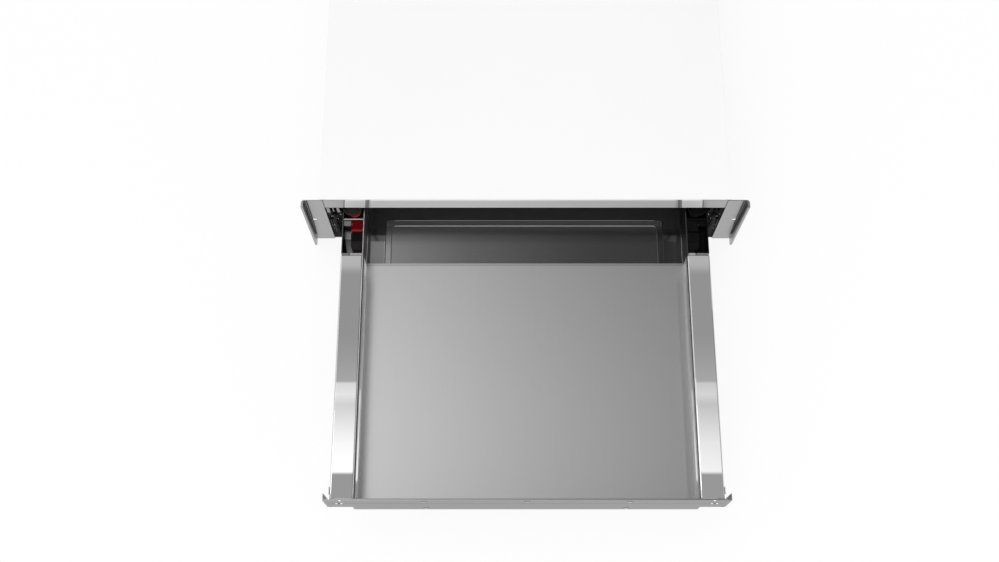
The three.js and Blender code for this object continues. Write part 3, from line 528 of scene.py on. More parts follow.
NODE_FINISHES = {
    "base_plate": zinc,
    "back_wall": zinc,
    "top_cover": white_coat,
    "frame_crossbar": crossbar_steel,
    "drawer_pan": pan_steel,
    "floor_plate": floor_steel,
    "pan_wall_left": sheet_steel,
    "pan_wall_right": shaded_steel,
    "pan_rear_wall": sheet_steel,
    "inner_front_wall": frame_steel,
    "front_mounting_plate": plate_steel,
    "heating_mat": foil,
    "heat_shield": zinc,
    "thermostat": black_plastic,
    "fan_housing": zinc,
    "fan_motor": black_plastic,
    "fan_impeller": cast_aluminium,
    "ring_heater": heater_steel,
    "temperature_limiter": black_plastic,
    "terminal_box": black_plastic,
    "terminal_lid": black_plastic,
    "cable_gland": black_plastic,
}
PAIRED_FINISHES = {
    "side_wall": zinc,
    "side_frame": frame_steel,
    "rail_end_block": dull_black,
    "rail_support": zinc,
    "cabinet_rail": rail_zinc,
    "middle_rail": rail_zinc,
    "drawer_rail": rail_zinc,
    "side_cover": cover_steel,
    "front_bracket": grey_coat,
    "front_adjuster": plate_steel,
    "lever_pin": rail_zinc,
}
MECHANISM_FINISHES = {
    "mechanism_tray": shaded_tray_zinc,
    "damper_housing": housing_plastic,
    "catch_bracket": zinc,
    "release_lever": red_plastic,
    "lever_bridge": edge_steel,
    "damper_hub": red_plastic,
    "damper_cap": grey_plastic,
}

EDGE_ROUNDING = 0.25
EDGE_ANGLE = math.radians(35)
WELD_DISTANCE = 1e-6


def round_edges(solid, width):
    """Rounds the sharp edges of a solid, by a width in millimetres."""
    rounding = solid.modifiers.new("rounding", "BEVEL")
    rounding.width = width * MM
    rounding.segments = 2
    rounding.limit_method = "ANGLE"
    rounding.angle_limit = EDGE_ANGLE


def dress_node(name, material):
    """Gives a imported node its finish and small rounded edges."""
    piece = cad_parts[name]
    piece.data.materials.clear()
    piece.data.materials.append(material)
    weld = piece.modifiers.new("weld", "WELD")
    weld.merge_threshold = WELD_DISTANCE
    round_edges(piece, EDGE_ROUNDING)


def lit_finish(side, material):
    """The left mechanism's finish; the right mechanism is dull black all over: painted shade for the deep
    shade it stands in.
    """
    return material if side < 0 else dull_black


for node_name, node_finish in NODE_FINISHES.items():
    dress_node(node_name, node_finish)
for side_name, side_sign in SIDES.items():
    for node_name, node_finish in PAIRED_FINISHES.items():
        dress_node(f"{node_name}_{side_name}", node_finish)
    for node_name, node_finish in MECHANISM_FINISHES.items():
        dress_node(f"{node_name}_{side_name}", lit_finish(side_sign, node_finish))

# ------------------------------------------------------------------ drawing shapes


class Room:
    """Where some nodes are, in millimetres. Inner and outer are distances from the middle plane."""

    def __init__(self, *names):
        boxes = [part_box(name) for name in names]
        lows = [min(box[0][axis] for box in boxes) / MM for axis in range(3)]
        highs = [max(box[1][axis] for box in boxes) / MM for axis in range(3)]
        self.left, self.front, self.bottom = lows
        self.right, self.rear, self.top = highs
        self.front -= frame_face / MM
        self.rear -= frame_face / MM
        self.inner, self.outer = sorted((abs(self.left), abs(self.right)))
        self.middle = (self.inner + self.outer) / 2
        self.centre_y = (self.front + self.rear) / 2
        self.centre_z = (self.bottom + self.top) / 2


def framed(point):
    """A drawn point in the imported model's frame."""
    x, y, z = point
    return (x * MM, frame_face + y * MM, z * MM)


def spaced(low, high, count):
    """That many even steps from low to high."""
    return [low + (high - low) * index / (count - 1) for index in range(count)]


def loft(loops, capped=True):
    """A closed skin through loops of points, capped at both ends or joined into a ring."""
    count = len(loops[0])
    points = [point for loop in loops for point in loop]
    steps = len(loops) - 1 if capped else len(loops)
    faces = []
    for step in range(steps):
        here = step * count
        there = (step + 1) % len(loops) * count
        for index in range(count):
            after = (index + 1) % count
            faces.append((here + index, here + after, there + after, there + index))
    if capped:
        faces.append(tuple(range(count)))
        faces.append(tuple(range(len(points) - count, len(points))))
    return points, faces


def placed(first, second, level, along):
    """The point at that level along an axis, with the other two coordinates in their order."""
    orders = {"X": (level, first, second), "Y": (first, level, second), "Z": (first, second, level)}
    return orders[along]


def span(side, near, far):
    """From near to far off the middle plane, on that side."""
    return sorted((side * near, side * far))


def prism(outline, low, high, along="Z"):
    """An outline drawn square to an axis, from low to high along it."""
    loops = [[placed(first, second, level, along) for first, second in outline] for level in (low, high)]
    return loft(loops)


def block(x_range, y_range, z_range):
    """A box between two values on each axis."""
    (west, east), (front, rear) = sorted(x_range), sorted(y_range)
    return prism([(west, front), (east, front), (east, rear), (west, rear)], *sorted(z_range))


def turned(profile, centre, along="Z", steps=36, capped=True):
    """A profile of (radius, place along the axis) turned about the axis through centre."""
    loops = []
    for radius, level in profile:
        loop = []
        for step in range(steps):
            angle = 2 * math.pi * step / steps
            first = centre[0] + radius * math.cos(angle)
            second = centre[1] + radius * math.sin(angle)
            loop.append(placed(first, second, level, along))
        loops.append(loop)
    return loft(loops, capped)


def half_round(width, height, steps=6):
    """The section of a bead, flat side down."""
    angles = [math.pi * step / steps for step in range(steps + 1)]
    return [(width / 2 * math.cos(angle), height * math.sin(angle)) for angle in angles]


def swept(path, section, up):
    """A section of (across, up) pairs carried along a path, up kept towards one direction."""
    points = [Vector(point) for point in path]
    loops = []
    for index, point in enumerate(points):
        ahead = (points[min(index + 1, len(points) - 1)] - points[max(index - 1, 0)]).normalized()
        across = ahead.cross(Vector(up)).normalized()
        rise = across.cross(ahead)
        loops.append([tuple(point + across * first + rise * second) for first, second in section])
    return loft(loops)


def rounded_turn(corner, start, end, radius, steps=6):
    """Points that take a path round a square corner in the XY plane."""
    corner, start, end = Vector(corner), Vector(start), Vector(end)
    arrive = (start - corner).normalized() * radius
    leave = (end - corner).normalized() * radius
    middle = corner + arrive + leave
    points = []
    for step in range(steps + 1):
        angle = math.pi / 2 * step / steps
        points.append(tuple(middle - leave * math.cos(angle) - arrive * math.sin(angle)))
    return points


def piece(name, body, material, shapes, rounding=0.0, stands_for=()):
    """A mesh of closed shapes drawn in millimetres, riding on a body."""
    points, faces = [], []
    for shape_points, shape_faces in shapes:
        start = len(points)
        points += [framed(point) for point in shape_points]
        faces += [tuple(start + index for index in face) for face in shape_faces]
    mesh = bpy.data.meshes.new(name)
    mesh.from_pydata(points, [], faces)
    work = bmesh.new()
    work.from_mesh(mesh)
    bmesh.ops.recalc_face_normals(work, faces=work.faces)
    work.to_mesh(mesh)
    work.free()
    mesh.materials.append(material)
    mesh.polygons.foreach_set("use_smooth", [True] * len(mesh.polygons))
    mesh.set_sharp_from_angle(angle=EDGE_ANGLE)
    made = in_scene(name, mesh)
    if rounding:
        round_edges(made, rounding)
    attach(made, body)
    if stands_for:
        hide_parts(*stands_for)


# ------------------------------------------------------------------ repeated fittings

QUARTER = math.pi / 2
FACING = {
    "up": (0, 0, 0),
    "down": (math.pi, 0, 0),
    "front": (QUARTER, 0, 0),
    "rear": (-QUARTER, 0, 0),
    "left": (0, -QUARTER, 0),
    "right": (0, QUARTER, 0),
}
NUMBER, COUNT, VECTOR = "NodeSocketFloat", "NodeSocketInt", "NodeSocketVector"


def grown_tree(name, sizes, part):
    """A tree that sets a part out on the points it is given, turned the way it is told."""
    group = bpy.data.node_groups.new(name, "GeometryNodeTree")
    inputs = {"Places": "NodeSocketGeometry", "Turn": VECTOR, **sizes, "Finish": "NodeSocketMaterial"}
    for label, kind in inputs.items():
        group.interface.new_socket(label, in_out="INPUT", socket_type=kind)
    group.interface.new_socket("Geometry", in_out="OUTPUT", socket_type="NodeSocketGeometry")
    tree = Tree(group)
    entry = group.nodes.new("NodeGroupInput")
    given = {socket.name: Value(tree, socket) for socket in entry.outputs if socket.name}
    turn = tree.node("FunctionNodeEulerToRotation", {}, {"Euler": given["Turn"]})
    set_out = tree.node(
        "GeometryNodeInstanceOnPoints",
        {},
        {"Points": given["Places"], "Instance": part(tree, given), "Rotation": turn},
    )
    plain = tree.node("GeometryNodeRealizeInstances", {}, {"Geometry": set_out})
    finished = tree.node("GeometryNodeSetMaterial", {}, {"Geometry": plain, "Material": given["Finish"]})
    tree.node("NodeGroupOutput", {}, {"Geometry": finished})
    return group


def size_of(tree, x, y, z):
    return tree.node("ShaderNodeCombineXYZ", {}, {"X": x, "Y": y, "Z": z})


def moved(tree, geometry, place=(0, 0, 0), scale=(1, 1, 1)):
    return tree.node(
        "GeometryNodeTransform", {}, {"Geometry": geometry, "Translation": place, "Scale": scale}
    )


def smooth(tree, geometry):
    return tree.node("GeometryNodeSetShadeSmooth", {}, {"Geometry": geometry})


def screw_head(tree, given):
    """A tapered head with a cross recess, standing on its point."""
    radius, height = given["Radius"], given["Height"]
    head = tree.node(
        "GeometryNodeMeshCone",
        {},
        {"Vertices": 20, "Radius Top": radius * 0.74, "Radius Bottom": radius, "Depth": height},
    )
    arms = []
    for long_side, short_side in ((1.0, 0.22), (0.22, 1.0)):
        size = size_of(tree, radius * long_side, radius * short_side, height)
        arms.append(tree.node("GeometryNodeMeshCube", {}, {"Size": size}))
    cross = tree.node("GeometryNodeJoinGeometry", {}, {"Geometry": arms})
    recess = moved(tree, cross, size_of(tree, 0.0, 0.0, height))
    cut = {"operation": "DIFFERENCE"}
    return tree.node("GeometryNodeMeshBoolean", cut, {"Mesh 1": head, "Mesh 2": recess})


def rivet_head(tree, given):
    """A low dome, half sunk in its sheet."""
    ball = tree.node(
        "GeometryNodeMeshUVSphere", {}, {"Segments": 16, "Rings": 8, "Radius": given["Radius"]}
    )
    return smooth(tree, moved(tree, ball, scale=(1, 1, 0.45)))


def ball_part(tree, given):
    ball = tree.node("GeometryNodeMeshIcoSphere", {}, {"Radius": given["Radius"], "Subdivisions": 3})
    return smooth(tree, ball)


def rib_part(tree, given):
    """A bar of that size, centred on its point."""
    return tree.node("GeometryNodeMeshCube", {}, {"Size": given["Size"]})


def louvre_part(tree, given):
    """A pressed hood, half sunk in its sheet."""
    hood = tree.node(
        "GeometryNodeMeshUVSphere", {}, {"Segments": 20, "Rings": 10, "Radius": given["Radius"]}
    )
    return smooth(tree, moved(tree, hood, scale=given["Stretch"]))


def ribbed_ring(tree, given):
    """Ribs that point outwards round a circle."""
    ring = tree.node("GeometryNodeMeshCircle", {}, {"Vertices": given["Count"], "Radius": given["Radius"]})
    outwards = tree.node(
        "FunctionNodeAlignRotationToVector",
        {"axis": "X"},
        {"Vector": tree.node("GeometryNodeInputPosition")},
    )
    set_out = {"Points": ring, "Instance": rib_part(tree, given), "Rotation": outwards}
    return tree.node("GeometryNodeInstanceOnPoints", {}, set_out)


def coil_part(tree, given):
    """A coil spring standing on its point."""
    path = tree.node(
        "GeometryNodeCurveSpiral",
        {},
        {
            "Resolution": 20,
            "Rotations": given["Turns"],
            "Start Radius": given["Radius"],
            "End Radius": given["Radius"],
            "Height": given["Height"],
        },
    )
    wire = tree.node("GeometryNodeCurvePrimitiveCircle", {}, {"Resolution": 8, "Radius": given["Wire"]})
    wound = {"Curve": path, "Profile Curve": wire, "Fill Caps": True}
    return tree.node("GeometryNodeCurveToMesh", {}, wound)


screws = grown_tree("screws", {"Radius": NUMBER, "Height": NUMBER}, screw_head)
rivets = grown_tree("rivets", {"Radius": NUMBER}, rivet_head)
balls = grown_tree("balls", {"Radius": NUMBER}, ball_part)
ribs = grown_tree("ribs", {"Size": VECTOR}, rib_part)
louvres = grown_tree("louvres", {"Radius": NUMBER, "Stretch": VECTOR}, louvre_part)
rib_rings = grown_tree("rib_rings", {"Count": COUNT, "Radius": NUMBER, "Size": VECTOR}, ribbed_ring)
coils = grown_tree(
    "coils", {"Turns": NUMBER, "Radius": NUMBER, "Height": NUMBER, "Wire": NUMBER}, coil_part
)
LENGTHS = ("Radius", "Height", "Wire")


def grown(name, body, group, material, facing, places, **sizes):
    """What a tree makes on those places, in millimetres, as a plain mesh riding on a body."""
    seeds = bpy.data.meshes.new(f"{name}_places")
    seeds.from_pydata([framed(place) for place in places], [], [])
    carrier = in_scene(f"{name}_carrier", seeds)
    modifier = carrier.modifiers.new("grown", "NODES")
    modifier.node_group = group
    given = {"Turn": FACING[facing], "Finish": material}
    for label, size in sizes.items():
        label = label.capitalize()
        if label in LENGTHS:
            size = size * MM
        if label == "Size":
            size = tuple(part * MM for part in size)
        given[label] = size
    for socket in group.interface.items_tree:
        if socket.in_out == "INPUT" and socket.name in given:
            modifier[socket.identifier] = given[socket.name]
    depsgraph = bpy.context.evaluated_depsgraph_get()
    mesh = bpy.data.meshes.new_from_object(carrier.evaluated_get(depsgraph))
    mesh.name = name
    bpy.data.objects.remove(carrier)
    made = in_scene(name, mesh)
    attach(made, body)


# ------------------------------------------------------------------ damper and release lever


def damper(name, side):
    """The round damper under its dished cap, with a red hub and flange."""
    cap = Room(f"damper_cap_{name}")
    hub = Room(f"damper_hub_{name}")
    radius = (cap.outer - cap.inner) / 2
    centre = (side * cap.middle, cap.centre_y)
    top = cap.top
    dish = [
        (radius - 1.6, cap.bottom),
        (radius, cap.bottom + 0.5),
        (radius, top - 0.6),
        (radius - 0.5, top),
        (radius - 2.0, top),
        (radius - 3.0, top - 1.1),
        (5.0, top - 1.2),
        (4.4, top - 0.2),
        (2.2, top - 0.2),
        (1.9, top - 0.9),
        (0.2, top - 0.9),
    ]
    piece(f"dished_cap_{name}", "drawer", lit_finish(side, cap_plastic), [turned(dish, centre, steps=48)],
          stands_for=[f"damper_cap_{name}"])
    hub_radius = (hub.outer - hub.inner) / 2 - 1.2
    drum = [
        (hub_radius, hub.bottom),
        (hub_radius, hub.top - 5.0),
        (hub_radius - 1.2, hub.top - 4.2),
        (hub_radius - 1.2, hub.top - 2.0),
    ]
    flange_radius = 8.0
    flange_centre = (side * (cap.middle - 3.3), cap.centre_y - 6.7)
    flange = [
        (flange_radius - 0.5, hub.top - 1.6),
        (flange_radius, hub.top - 1.2),
        (flange_radius, hub.top - 0.6),
        (flange_radius - 0.5, hub.top - 0.2),
    ]
    hub_finish = lit_finish(side, bright_red)
    shapes = [turned(drum, centre), turned(flange, flange_centre, steps=48)]
    piece(f"hub_with_flange_{name}", "drawer", hub_finish, shapes, stands_for=[f"damper_hub_{name}"])
    grown(f"hub_grip_ribs_{name}", "drawer", rib_rings, hub_finish, "up",
          [(*centre, hub.centre_z - 2.5)], count=30, radius=hub_radius, size=(1.0, 0.8, 10.0))


def bridge(name, side):
    """A bright bar across the mechanism with a ridged block at its outer end."""
    room = Room(f"lever_bridge_{name}")
    lever = Room(f"release_lever_{name}")
    bar_rear = room.rear - 2.3
    bar_front = bar_rear - 1.9
    block_inner = lever.outer + 0.5
    depth, thickness = (bar_front, bar_rear), 1.4
    under = room.top - thickness
    bar = block(span(side, room.inner, room.outer), depth, (under, room.top))
    leg = block(span(side, room.outer - thickness, room.outer), depth, (room.bottom, under))
    dull = lit_finish(side, guide_steel)
    piece(f"bridge_bar_{name}", "drawer", lit_finish(side, strap_steel), [bar, leg], rounding=0.3,
          stands_for=[f"lever_bridge_{name}"])
    block_outer = room.outer - 0.3
    seat = block(span(side, block_inner, block_outer), (room.front, bar_front - 0.3),
                 (room.bottom, room.top - 2.2))
    piece(f"bridge_block_{name}", "drawer", dull, [seat], rounding=0.4)
    middle = side * (block_inner + block_outer) / 2
    rows = [(middle, y, room.top - 2.1) for y in spaced(room.front + 1.2, bar_front - 1.5, 4)]
    grown(f"bridge_block_ridges_{name}", "drawer", ribs, dull, "up", rows,
          size=(block_outer - 1.0 - block_inner, 0.6, 0.8))


def release_lever(name, side):
    """A red key on its pin, ribbed for the finger, its red darkened as painted shade, with a painted
    highlight: a lip at the front in a lighter red.
    """
    room = Room(f"release_lever_{name}")
    pin = Room(f"lever_pin_{name}")
    body = f"lever_{name}"
    key = [
        (room.rear - 0.3, room.top - 0.4),
        (room.front + 4.4, room.top - 1.5),
        (room.front + 0.8, room.top - 2.0),
        (room.front + 0.4, room.top - 6.5),
        (room.front + 2.8, room.bottom + 0.6),
        (pin.front - 2.0, room.bottom + 0.6),
        (pin.front - 0.6, pin.top + 0.8),
        (room.rear - 0.3, pin.top + 0.8),
    ]
    width = span(side, room.inner + 0.3, room.outer - 0.3)
    plain = lit_finish(side, red_plastic)
    piece(f"lever_key_{name}", body, plain, [prism(key, *width, along="X")], rounding=0.5,
          stands_for=[f"release_lever_{name}"])
    # Painted highlight: the lip is drawn in the lighter copy of the key's red.
    lip = [
        (room.front + 4.2, room.top - 1.6),
        (room.front + 3.4, room.top - 0.5),
        (room.front + 1.6, room.top - 0.3),
        (room.front + 0.3, room.top - 1.5),
        (room.front + 0.2, room.top - 3.4),
        (room.front + 0.9, room.top - 3.6),
    ]
    front_lip = prism(lip, *width, along="X")
    piece(f"lever_lip_{name}", body, lit_finish(side, bright_red), [front_lip], rounding=0.3)
    rows = spaced(room.front + 6.0, room.rear - 2.4, 5)
    slope = 1.1 / (room.rear - room.front - 4.7)
    places = [(side * room.middle, y, room.top - 0.5 - slope * (room.rear - y)) for y in rows]
    grown(f"lever_grip_ribs_{name}", body, ribs, plain, "up", places, size=(11.5, 0.7, 0.7))


def catch(name, side):
    """A dished steel guide whose floor sweeps from the outer wall to the damper's housing."""
    room = Room(f"catch_bracket_{name}")
    thickness, inset, bends = 1.0, 0.2, 8
    wall, top = room.outer - inset, room.top - inset
    drop = room.top - room.bottom - 1.4
    loops = []
    for share in spaced(0.0, 1.0, 12):
        y = room.rear - inset - share * (room.rear - room.front - 2 * inset)
        reach = 0.8 + 5.4 * share**1.3
        skin = [(wall, top)]
        for bend in range(1, bends + 1):
            angle = QUARTER * bend / bends
            skin.append((wall - reach * (1 - math.cos(angle)), top - drop * math.sin(angle)))
        skin.append((room.inner + inset, room.bottom + inset + thickness))
        under = [(x, z - thickness) for x, z in reversed(skin)]
        loops.append([(side * x, y, z) for x, z in skin + under])
    lever = Room(f"release_lever_{name}")
    bridge_front = Room(f"lever_bridge_{name}").front
    tail = block(span(side, lever.outer + 0.8, wall), (room.rear - 0.1, bridge_front - 0.4),
                 (room.bottom + inset, room.bottom + inset + thickness))
    piece(f"dished_catch_{name}", "drawer", lit_finish(side, catch_steel), [loft(loops), tail],
          stands_for=[f"catch_bracket_{name}"])


def damper_housing(name, side):
    """The moulded housing beside the catch: a raised rear half, a chamfered front, and a thin pad darker than
    the shell that stands for a pocket: painted shade.
    """
    room = Room(f"damper_housing_{name}")
    inner, outer = room.inner + 0.2, room.outer - 0.2
    rear, front = room.rear - 0.2, room.front + 0.2
    shoulder, bends = front + 11.5, 6
    outline = [(inner, rear), (outer, rear), (outer, shoulder)]
    for bend in range(bends + 1):
        angle = QUARTER * bend / bends
        outline.append((outer - 5.5 * (1 - math.cos(angle)), shoulder - 6.0 * math.sin(angle)))
    outline += [(outer - 6.8, front + 5.0), (outer - 6.8, front), (inner, front)]
    mirrored = [(side * x, y) for x, y in outline]
    waist = rear - 11.5
    shell = prism(mirrored, room.bottom, room.top - 2.4)
    raised = block(span(side, inner, outer), (waist, rear), (room.top - 2.3, room.top - 0.4))
    piece(f"housing_shell_{name}", "drawer", lit_finish(side, housing_plastic), [shell], rounding=0.5,
          stands_for=[f"damper_housing_{name}"])
    piece(f"housing_lid_{name}", "drawer", dull_black, [raised], rounding=0.6)
    # Painted shade: a thin pad darker than the shell stands for the pocket.
    pocket = block(span(side, inner + 0.8, outer - 7.6), (front + 0.8, front + 4.8),
                   (room.top - 2.4, room.top - 1.8))
    piece(f"housing_pocket_shade_{name}", "drawer", dull_black, [pocket], rounding=0.2)
    places = [(side * room.middle, y, room.top - 0.4) for y in spaced(waist + 2.0, rear - 2.0, 5)]
    grown(f"housing_lid_ribs_{name}", "drawer", ribs, dull_black, "up", places, size=(11.0, 0.8, 0.8))


for side_name, side_sign in SIDES.items():
    damper(side_name, side_sign)
    bridge(side_name, side_sign)
    release_lever(side_name, side_sign)
    catch(side_name, side_sign)
    damper_housing(side_name, side_sign)

# ------------------------------------------------------------------ front frame


def lip_reflection_ribs(name, side):
    """Two half-round ribs of dark rubber beside the forward lip, running out towards the bottom; shaped as a
    seal, their darkness is a painted reflection along the lip.
    """
    lip_inner = Room(f"side_frame_{name}").outer - 3.0
    seal_levels = (134.5, 122.0, 90.0, 60.0, 34.0, 18.0)
    seal_widths = (5.4, 5.4, 5.0, 4.2, 3.0, 1.8)
    rib_heights = (1.5, 1.7, 1.7, 1.6, 1.3, 0.8)
    shapes = []
    for row in (0, 1):
        loops = []
        for z, width, height in zip(seal_levels, seal_widths, rib_heights):
            rib = width / 2
            middle = lip_inner - rib * (row + 0.5)
            section = half_round(0.62 * rib, height)
            loops.append([(side * (middle + across), -rise, z) for across, rise in section])
        shapes.append(loft(loops))
    piece(f"lip_reflection_ribs_{name}", "casing", seal_rubber, shapes)


def rail_guide(name, side):
    """What sits on the end block: posts, a roller on its pin, a spring, a clip, screws and pins."""
    room = Room(f"rail_end_block_{name}")
    face = room.front

    def at(distance):
        return side * (room.inner + distance)

    posts = [
        block((at(start), at(end)), (face - 1.9, face - 0.1), (room.top - sunk, room.top + 11.6))
        for start, end, sunk in ((2.0, 6.0, 3.0), (9.6, 11.4, 1.5), (15.0, 19.6, 4.0))
    ]
    piece(f"guide_posts_{name}", "casing", lit_finish(side, guide_steel), posts, rounding=0.3)
    tyre = [(2.6, at(7.4)), (4.4, at(7.7)), (4.6, at(8.4)), (4.6, at(10.8)), (4.4, at(11.5)), (2.6, at(11.8))]
    roller_centre = (face - 2.6, room.top - 12.0)
    hub = [(2.4, at(7.0)), (2.4, at(12.4)), (1.6, at(12.6)), (1.6, at(14.4))]
    piece(f"guide_roller_{name}", "casing", black_plastic, [turned(tyre, roller_centre, "X")])
    piece(f"guide_roller_pin_{name}", "casing", dark_wire, [turned(hub, roller_centre, "X", 20)])
    spring_foot, spring_length = 34.0, 46.0
    grown(f"guide_spring_{name}", "casing", coils, dark_wire, "up", [(at(12.0), face - 3.2, spring_foot)],
          turns=11.0, radius=2.6, height=spring_length, wire=0.45)
    saddle_levels = [(80.6, 82.4), (31.8, 33.6)]
    saddles = [block((at(8.6), at(15.4)), (face - 6.4, face), levels) for levels in saddle_levels]
    clip = block((at(16.6), at(18.4)), (face - 4.0, face), (52.0, 76.0))
    piece(f"spring_saddles_{name}", "casing", black_plastic, saddles, rounding=0.4)
    piece(f"guide_clip_{name}", "casing", black_plastic, [clip], rounding=0.3)
    screw_places = ((17.4, 90.0), (4.0, 62.0), (17.4, 38.0), (5.5, 22.0))
    heads = [(at(distance), face, z) for distance, z in screw_places]
    grown(f"guide_screws_{name}", "casing", screws, rail_zinc, "front", heads, radius=1.5, height=1.0)
    pin_places = ((3.0, 86.0), (8.4, 71.0), (16.0, 79.0), (5.0, 44.0), (16.4, 48.0))
    pins = [(at(distance), face - 0.1, z) for distance, z in pin_places]
    grown(f"guide_pins_{name}", "casing", rivets, bright_steel, "front", pins, radius=0.8)
    grid_levels = (30.0, 38.0, 46.0, 54.0, 70.0)
    grid = [(at(distance), face - 0.7, z) for distance in (3.0, 6.4) for z in grid_levels]
    grown(f"guide_grid_{name}", "casing", ribs, dull_black, "up", grid, size=(2.2, 1.8, 1.6))


for side_name, side_sign in SIDES.items():
    lip_reflection_ribs(side_name, side_sign)
    rail_guide(side_name, side_sign)

# ------------------------------------------------------------------ drawer


def zone_beads():
    """Two fine pressed beads round the raised heating zone, up to the floor plate's edge."""
    corner_radius, bead_width, bead_height = 5.0, 1.1, 0.35
    bead = half_round(bead_width, bead_height)
    pan = Room("drawer_pan")
    front = Room("floor_plate").rear
    outlines = {
        "foot": (ZONE_FOOT, pan.top - 1.2, foot_steel),
        "crest": (ZONE_CREST, pan.top, crest_highlight_steel),
    }
    for label, ((half, rear), level, steel) in outlines.items():
        corners = [(-half, rear, level), (half, rear, level)]
        path = [(-half, front, level)]
        path += rounded_turn(corners[0], path[0], corners[1], corner_radius)
        path += rounded_turn(corners[1], corners[0], (half, front, level), corner_radius)
        path.append((half, front, level))
        piece(f"zone_bead_{label}", "drawer", steel, [swept(path, bead, (0, 0, 1))])


def well_rim(name, side):
    """The narrow bright ledge just inside a side cover, a little higher at the front."""
    cover = Room(f"side_cover_{name}")
    front, rear, drop = cover.front + 1.0, cover.rear - 14.0, 7.0
    top = cover.top - drop
    outline = [(front, top + 0.5), (rear, top - 0.5), (rear, top - 1.7), (front, top - 0.7)]
    ledge = prism(outline, *span(side, cover.inner - 2.5, cover.inner - 0.1), along="X")
    piece(f"well_rim_{name}", "drawer", rim_steel, [ledge])


def plate_fittings():
    """Collars, plugs and studs on the front plate, its pressed bead and its end brackets' screws; the white
    dots on the plugs and the white studs by the adjusters are painted glints.
    """
    plate = Room("front_mounting_plate")
    face = plate.front
    pitch, collar, proud = 128.0, 2.6, 0.5
    upper, lower = plate.top - 11.0, plate.bottom + 12.0
    holes = [(column * pitch, upper) for column in (-1, 0, 1)]
    holes += [(side * pitch, lower) for side in (-1, 1)]
    ring = [(collar, face), (collar + 1.3, face), (collar + 0.9, face - proud), (collar, face - proud)]
    rings = [turned(ring, hole, "Y", 28, capped=False) for hole in holes]
    piece("plate_hole_collars", "drawer", plate_steel, rings)
    plug = [(collar - 0.1, face + 1.2), (collar - 0.1, face + 0.3), (collar - 0.5, face + 0.1)]
    piece("plate_hole_plugs", "drawer", grey_plastic, [turned(plug, hole, "Y", 24) for hole in holes])
    # Painted glints: two white dots on each plug.
    dots = [(x + offset, face + 0.1, z) for x, z in holes for offset in (-1.2, 1.2)]
    grown("plug_glint_dots", "drawer", balls, stud_plastic, "front", dots, radius=1.0)
    bead_level = plate.top - 23.0
    path = [(plate.left + 6.0, face, bead_level), (plate.right - 6.0, face, bead_level)]
    piece("plate_bead", "drawer", plate_steel, [swept(path, half_round(1.6, 0.15), (0, -1, 0))])
    for name, side in SIDES.items():
        adjuster = Room(f"front_adjuster_{name}")
        middle = (side * adjuster.middle, adjuster.centre_z)
        radius = (adjuster.outer - adjuster.inner) / 2
        disc = [(radius - 0.4, adjuster.rear), (radius - 0.7, adjuster.rear - 0.25)]
        piece(f"adjuster_disc_{name}", "drawer", plate_steel, [turned(disc, middle, "Y")],
              stands_for=[f"front_adjuster_{name}"])
        level = adjuster.centre_z + 4.6
        # Painted glints: white studs beside each adjuster.
        studs = [(side * (adjuster.middle + offset), face, level) for offset in (-4.6, 1.6)]
        studs.append((side * adjuster.inner, face, plate.top - 1.6))
        grown(f"adjuster_studs_{name}", "drawer", rivets, stud_plastic, "front", studs, radius=1.7)
        bracket = Room(f"front_bracket_{name}")
        rows = [(side * bracket.inner, bracket.rear - 5.0, z) for z in (88.0, 100.0)]
        inwards = "left" if side > 0 else "right"
        grown(f"bracket_screws_{name}", "drawer", screws, bright_steel, inwards, rows, radius=1.6, height=0.2)


def drawer_underside():
    """Beads and screws under the heat shield, and the thermostat's blades."""
    shield = Room("heat_shield")
    beads = []
    for x in spaced(-150.0, 150.0, 5):
        path = [(x, shield.front + 30.0, shield.bottom), (x, shield.rear - 30.0, shield.bottom)]
        beads.append(swept(path, half_round(7.0, 1.6), (0, 0, -1)))
    piece("shield_beads", "drawer", zinc, beads)
    screw_columns = (-205.0, -75.0, 75.0, 205.0)
    screw_rows = (shield.front + 12.0, shield.rear - 12.0)
    edge = [(x, y, shield.bottom) for x in screw_columns for y in screw_rows]
    grown("shield_screws", "drawer", screws, bright_steel, "down", edge, radius=3.2, height=1.8)
    sensor = Room("thermostat")
    blade_width = 6.3
    thickness = (sensor.centre_y - 0.4, sensor.centre_y + 0.4)
    reach = (sensor.bottom - 7.0, sensor.bottom)
    starts = (sensor.left + 1.5, sensor.right - 1.5 - blade_width)
    blades = [block((x, x + blade_width), thickness, reach) for x in starts]
    piece("thermostat_blades", "drawer", bright_steel, blades, rounding=0.15)


def ball_cages(name, side):
    """Balls in their cages on both faces of the middle rail."""
    body = f"rail_stage_{name}"
    stage = Room(f"middle_rail_{name}")
    cages = {
        "outer": (stage.outer + 1.4, 1.2, 20.0, 245.0, 26),
        "inner": (stage.outer - 4.5, 2.6, stage.front + 8.0, 58.0, 24),
    }
    for label, (distance, radius, front, rear, count) in cages.items():
        thickness = span(side, distance - 0.4, distance + 0.4)
        strip = block(thickness, (front, rear), (stage.bottom + 9.0, stage.top - 9.0))
        piece(f"ball_cage_{label}_{name}", body, grey_plastic, [strip], rounding=0.2)
        rows = [
            (side * distance, y, z)
            for y in spaced(front + 4.0, rear - 4.0, count)
            for z in (stage.bottom + 13.0, stage.top - 13.0)
        ]
        grown(f"cage_balls_{label}_{name}", body, balls, bright_steel, "up", rows, radius=radius)


zone_beads()
for side_name, side_sign in SIDES.items():
    well_rim(side_name, side_sign)
plate_fittings()
drawer_underside()
for side_name, side_sign in SIDES.items():
    ball_cages(side_name, side_sign)

# ------------------------------------------------------------------ casing

WALL_BEAD = half_round(9.0, 2.0)


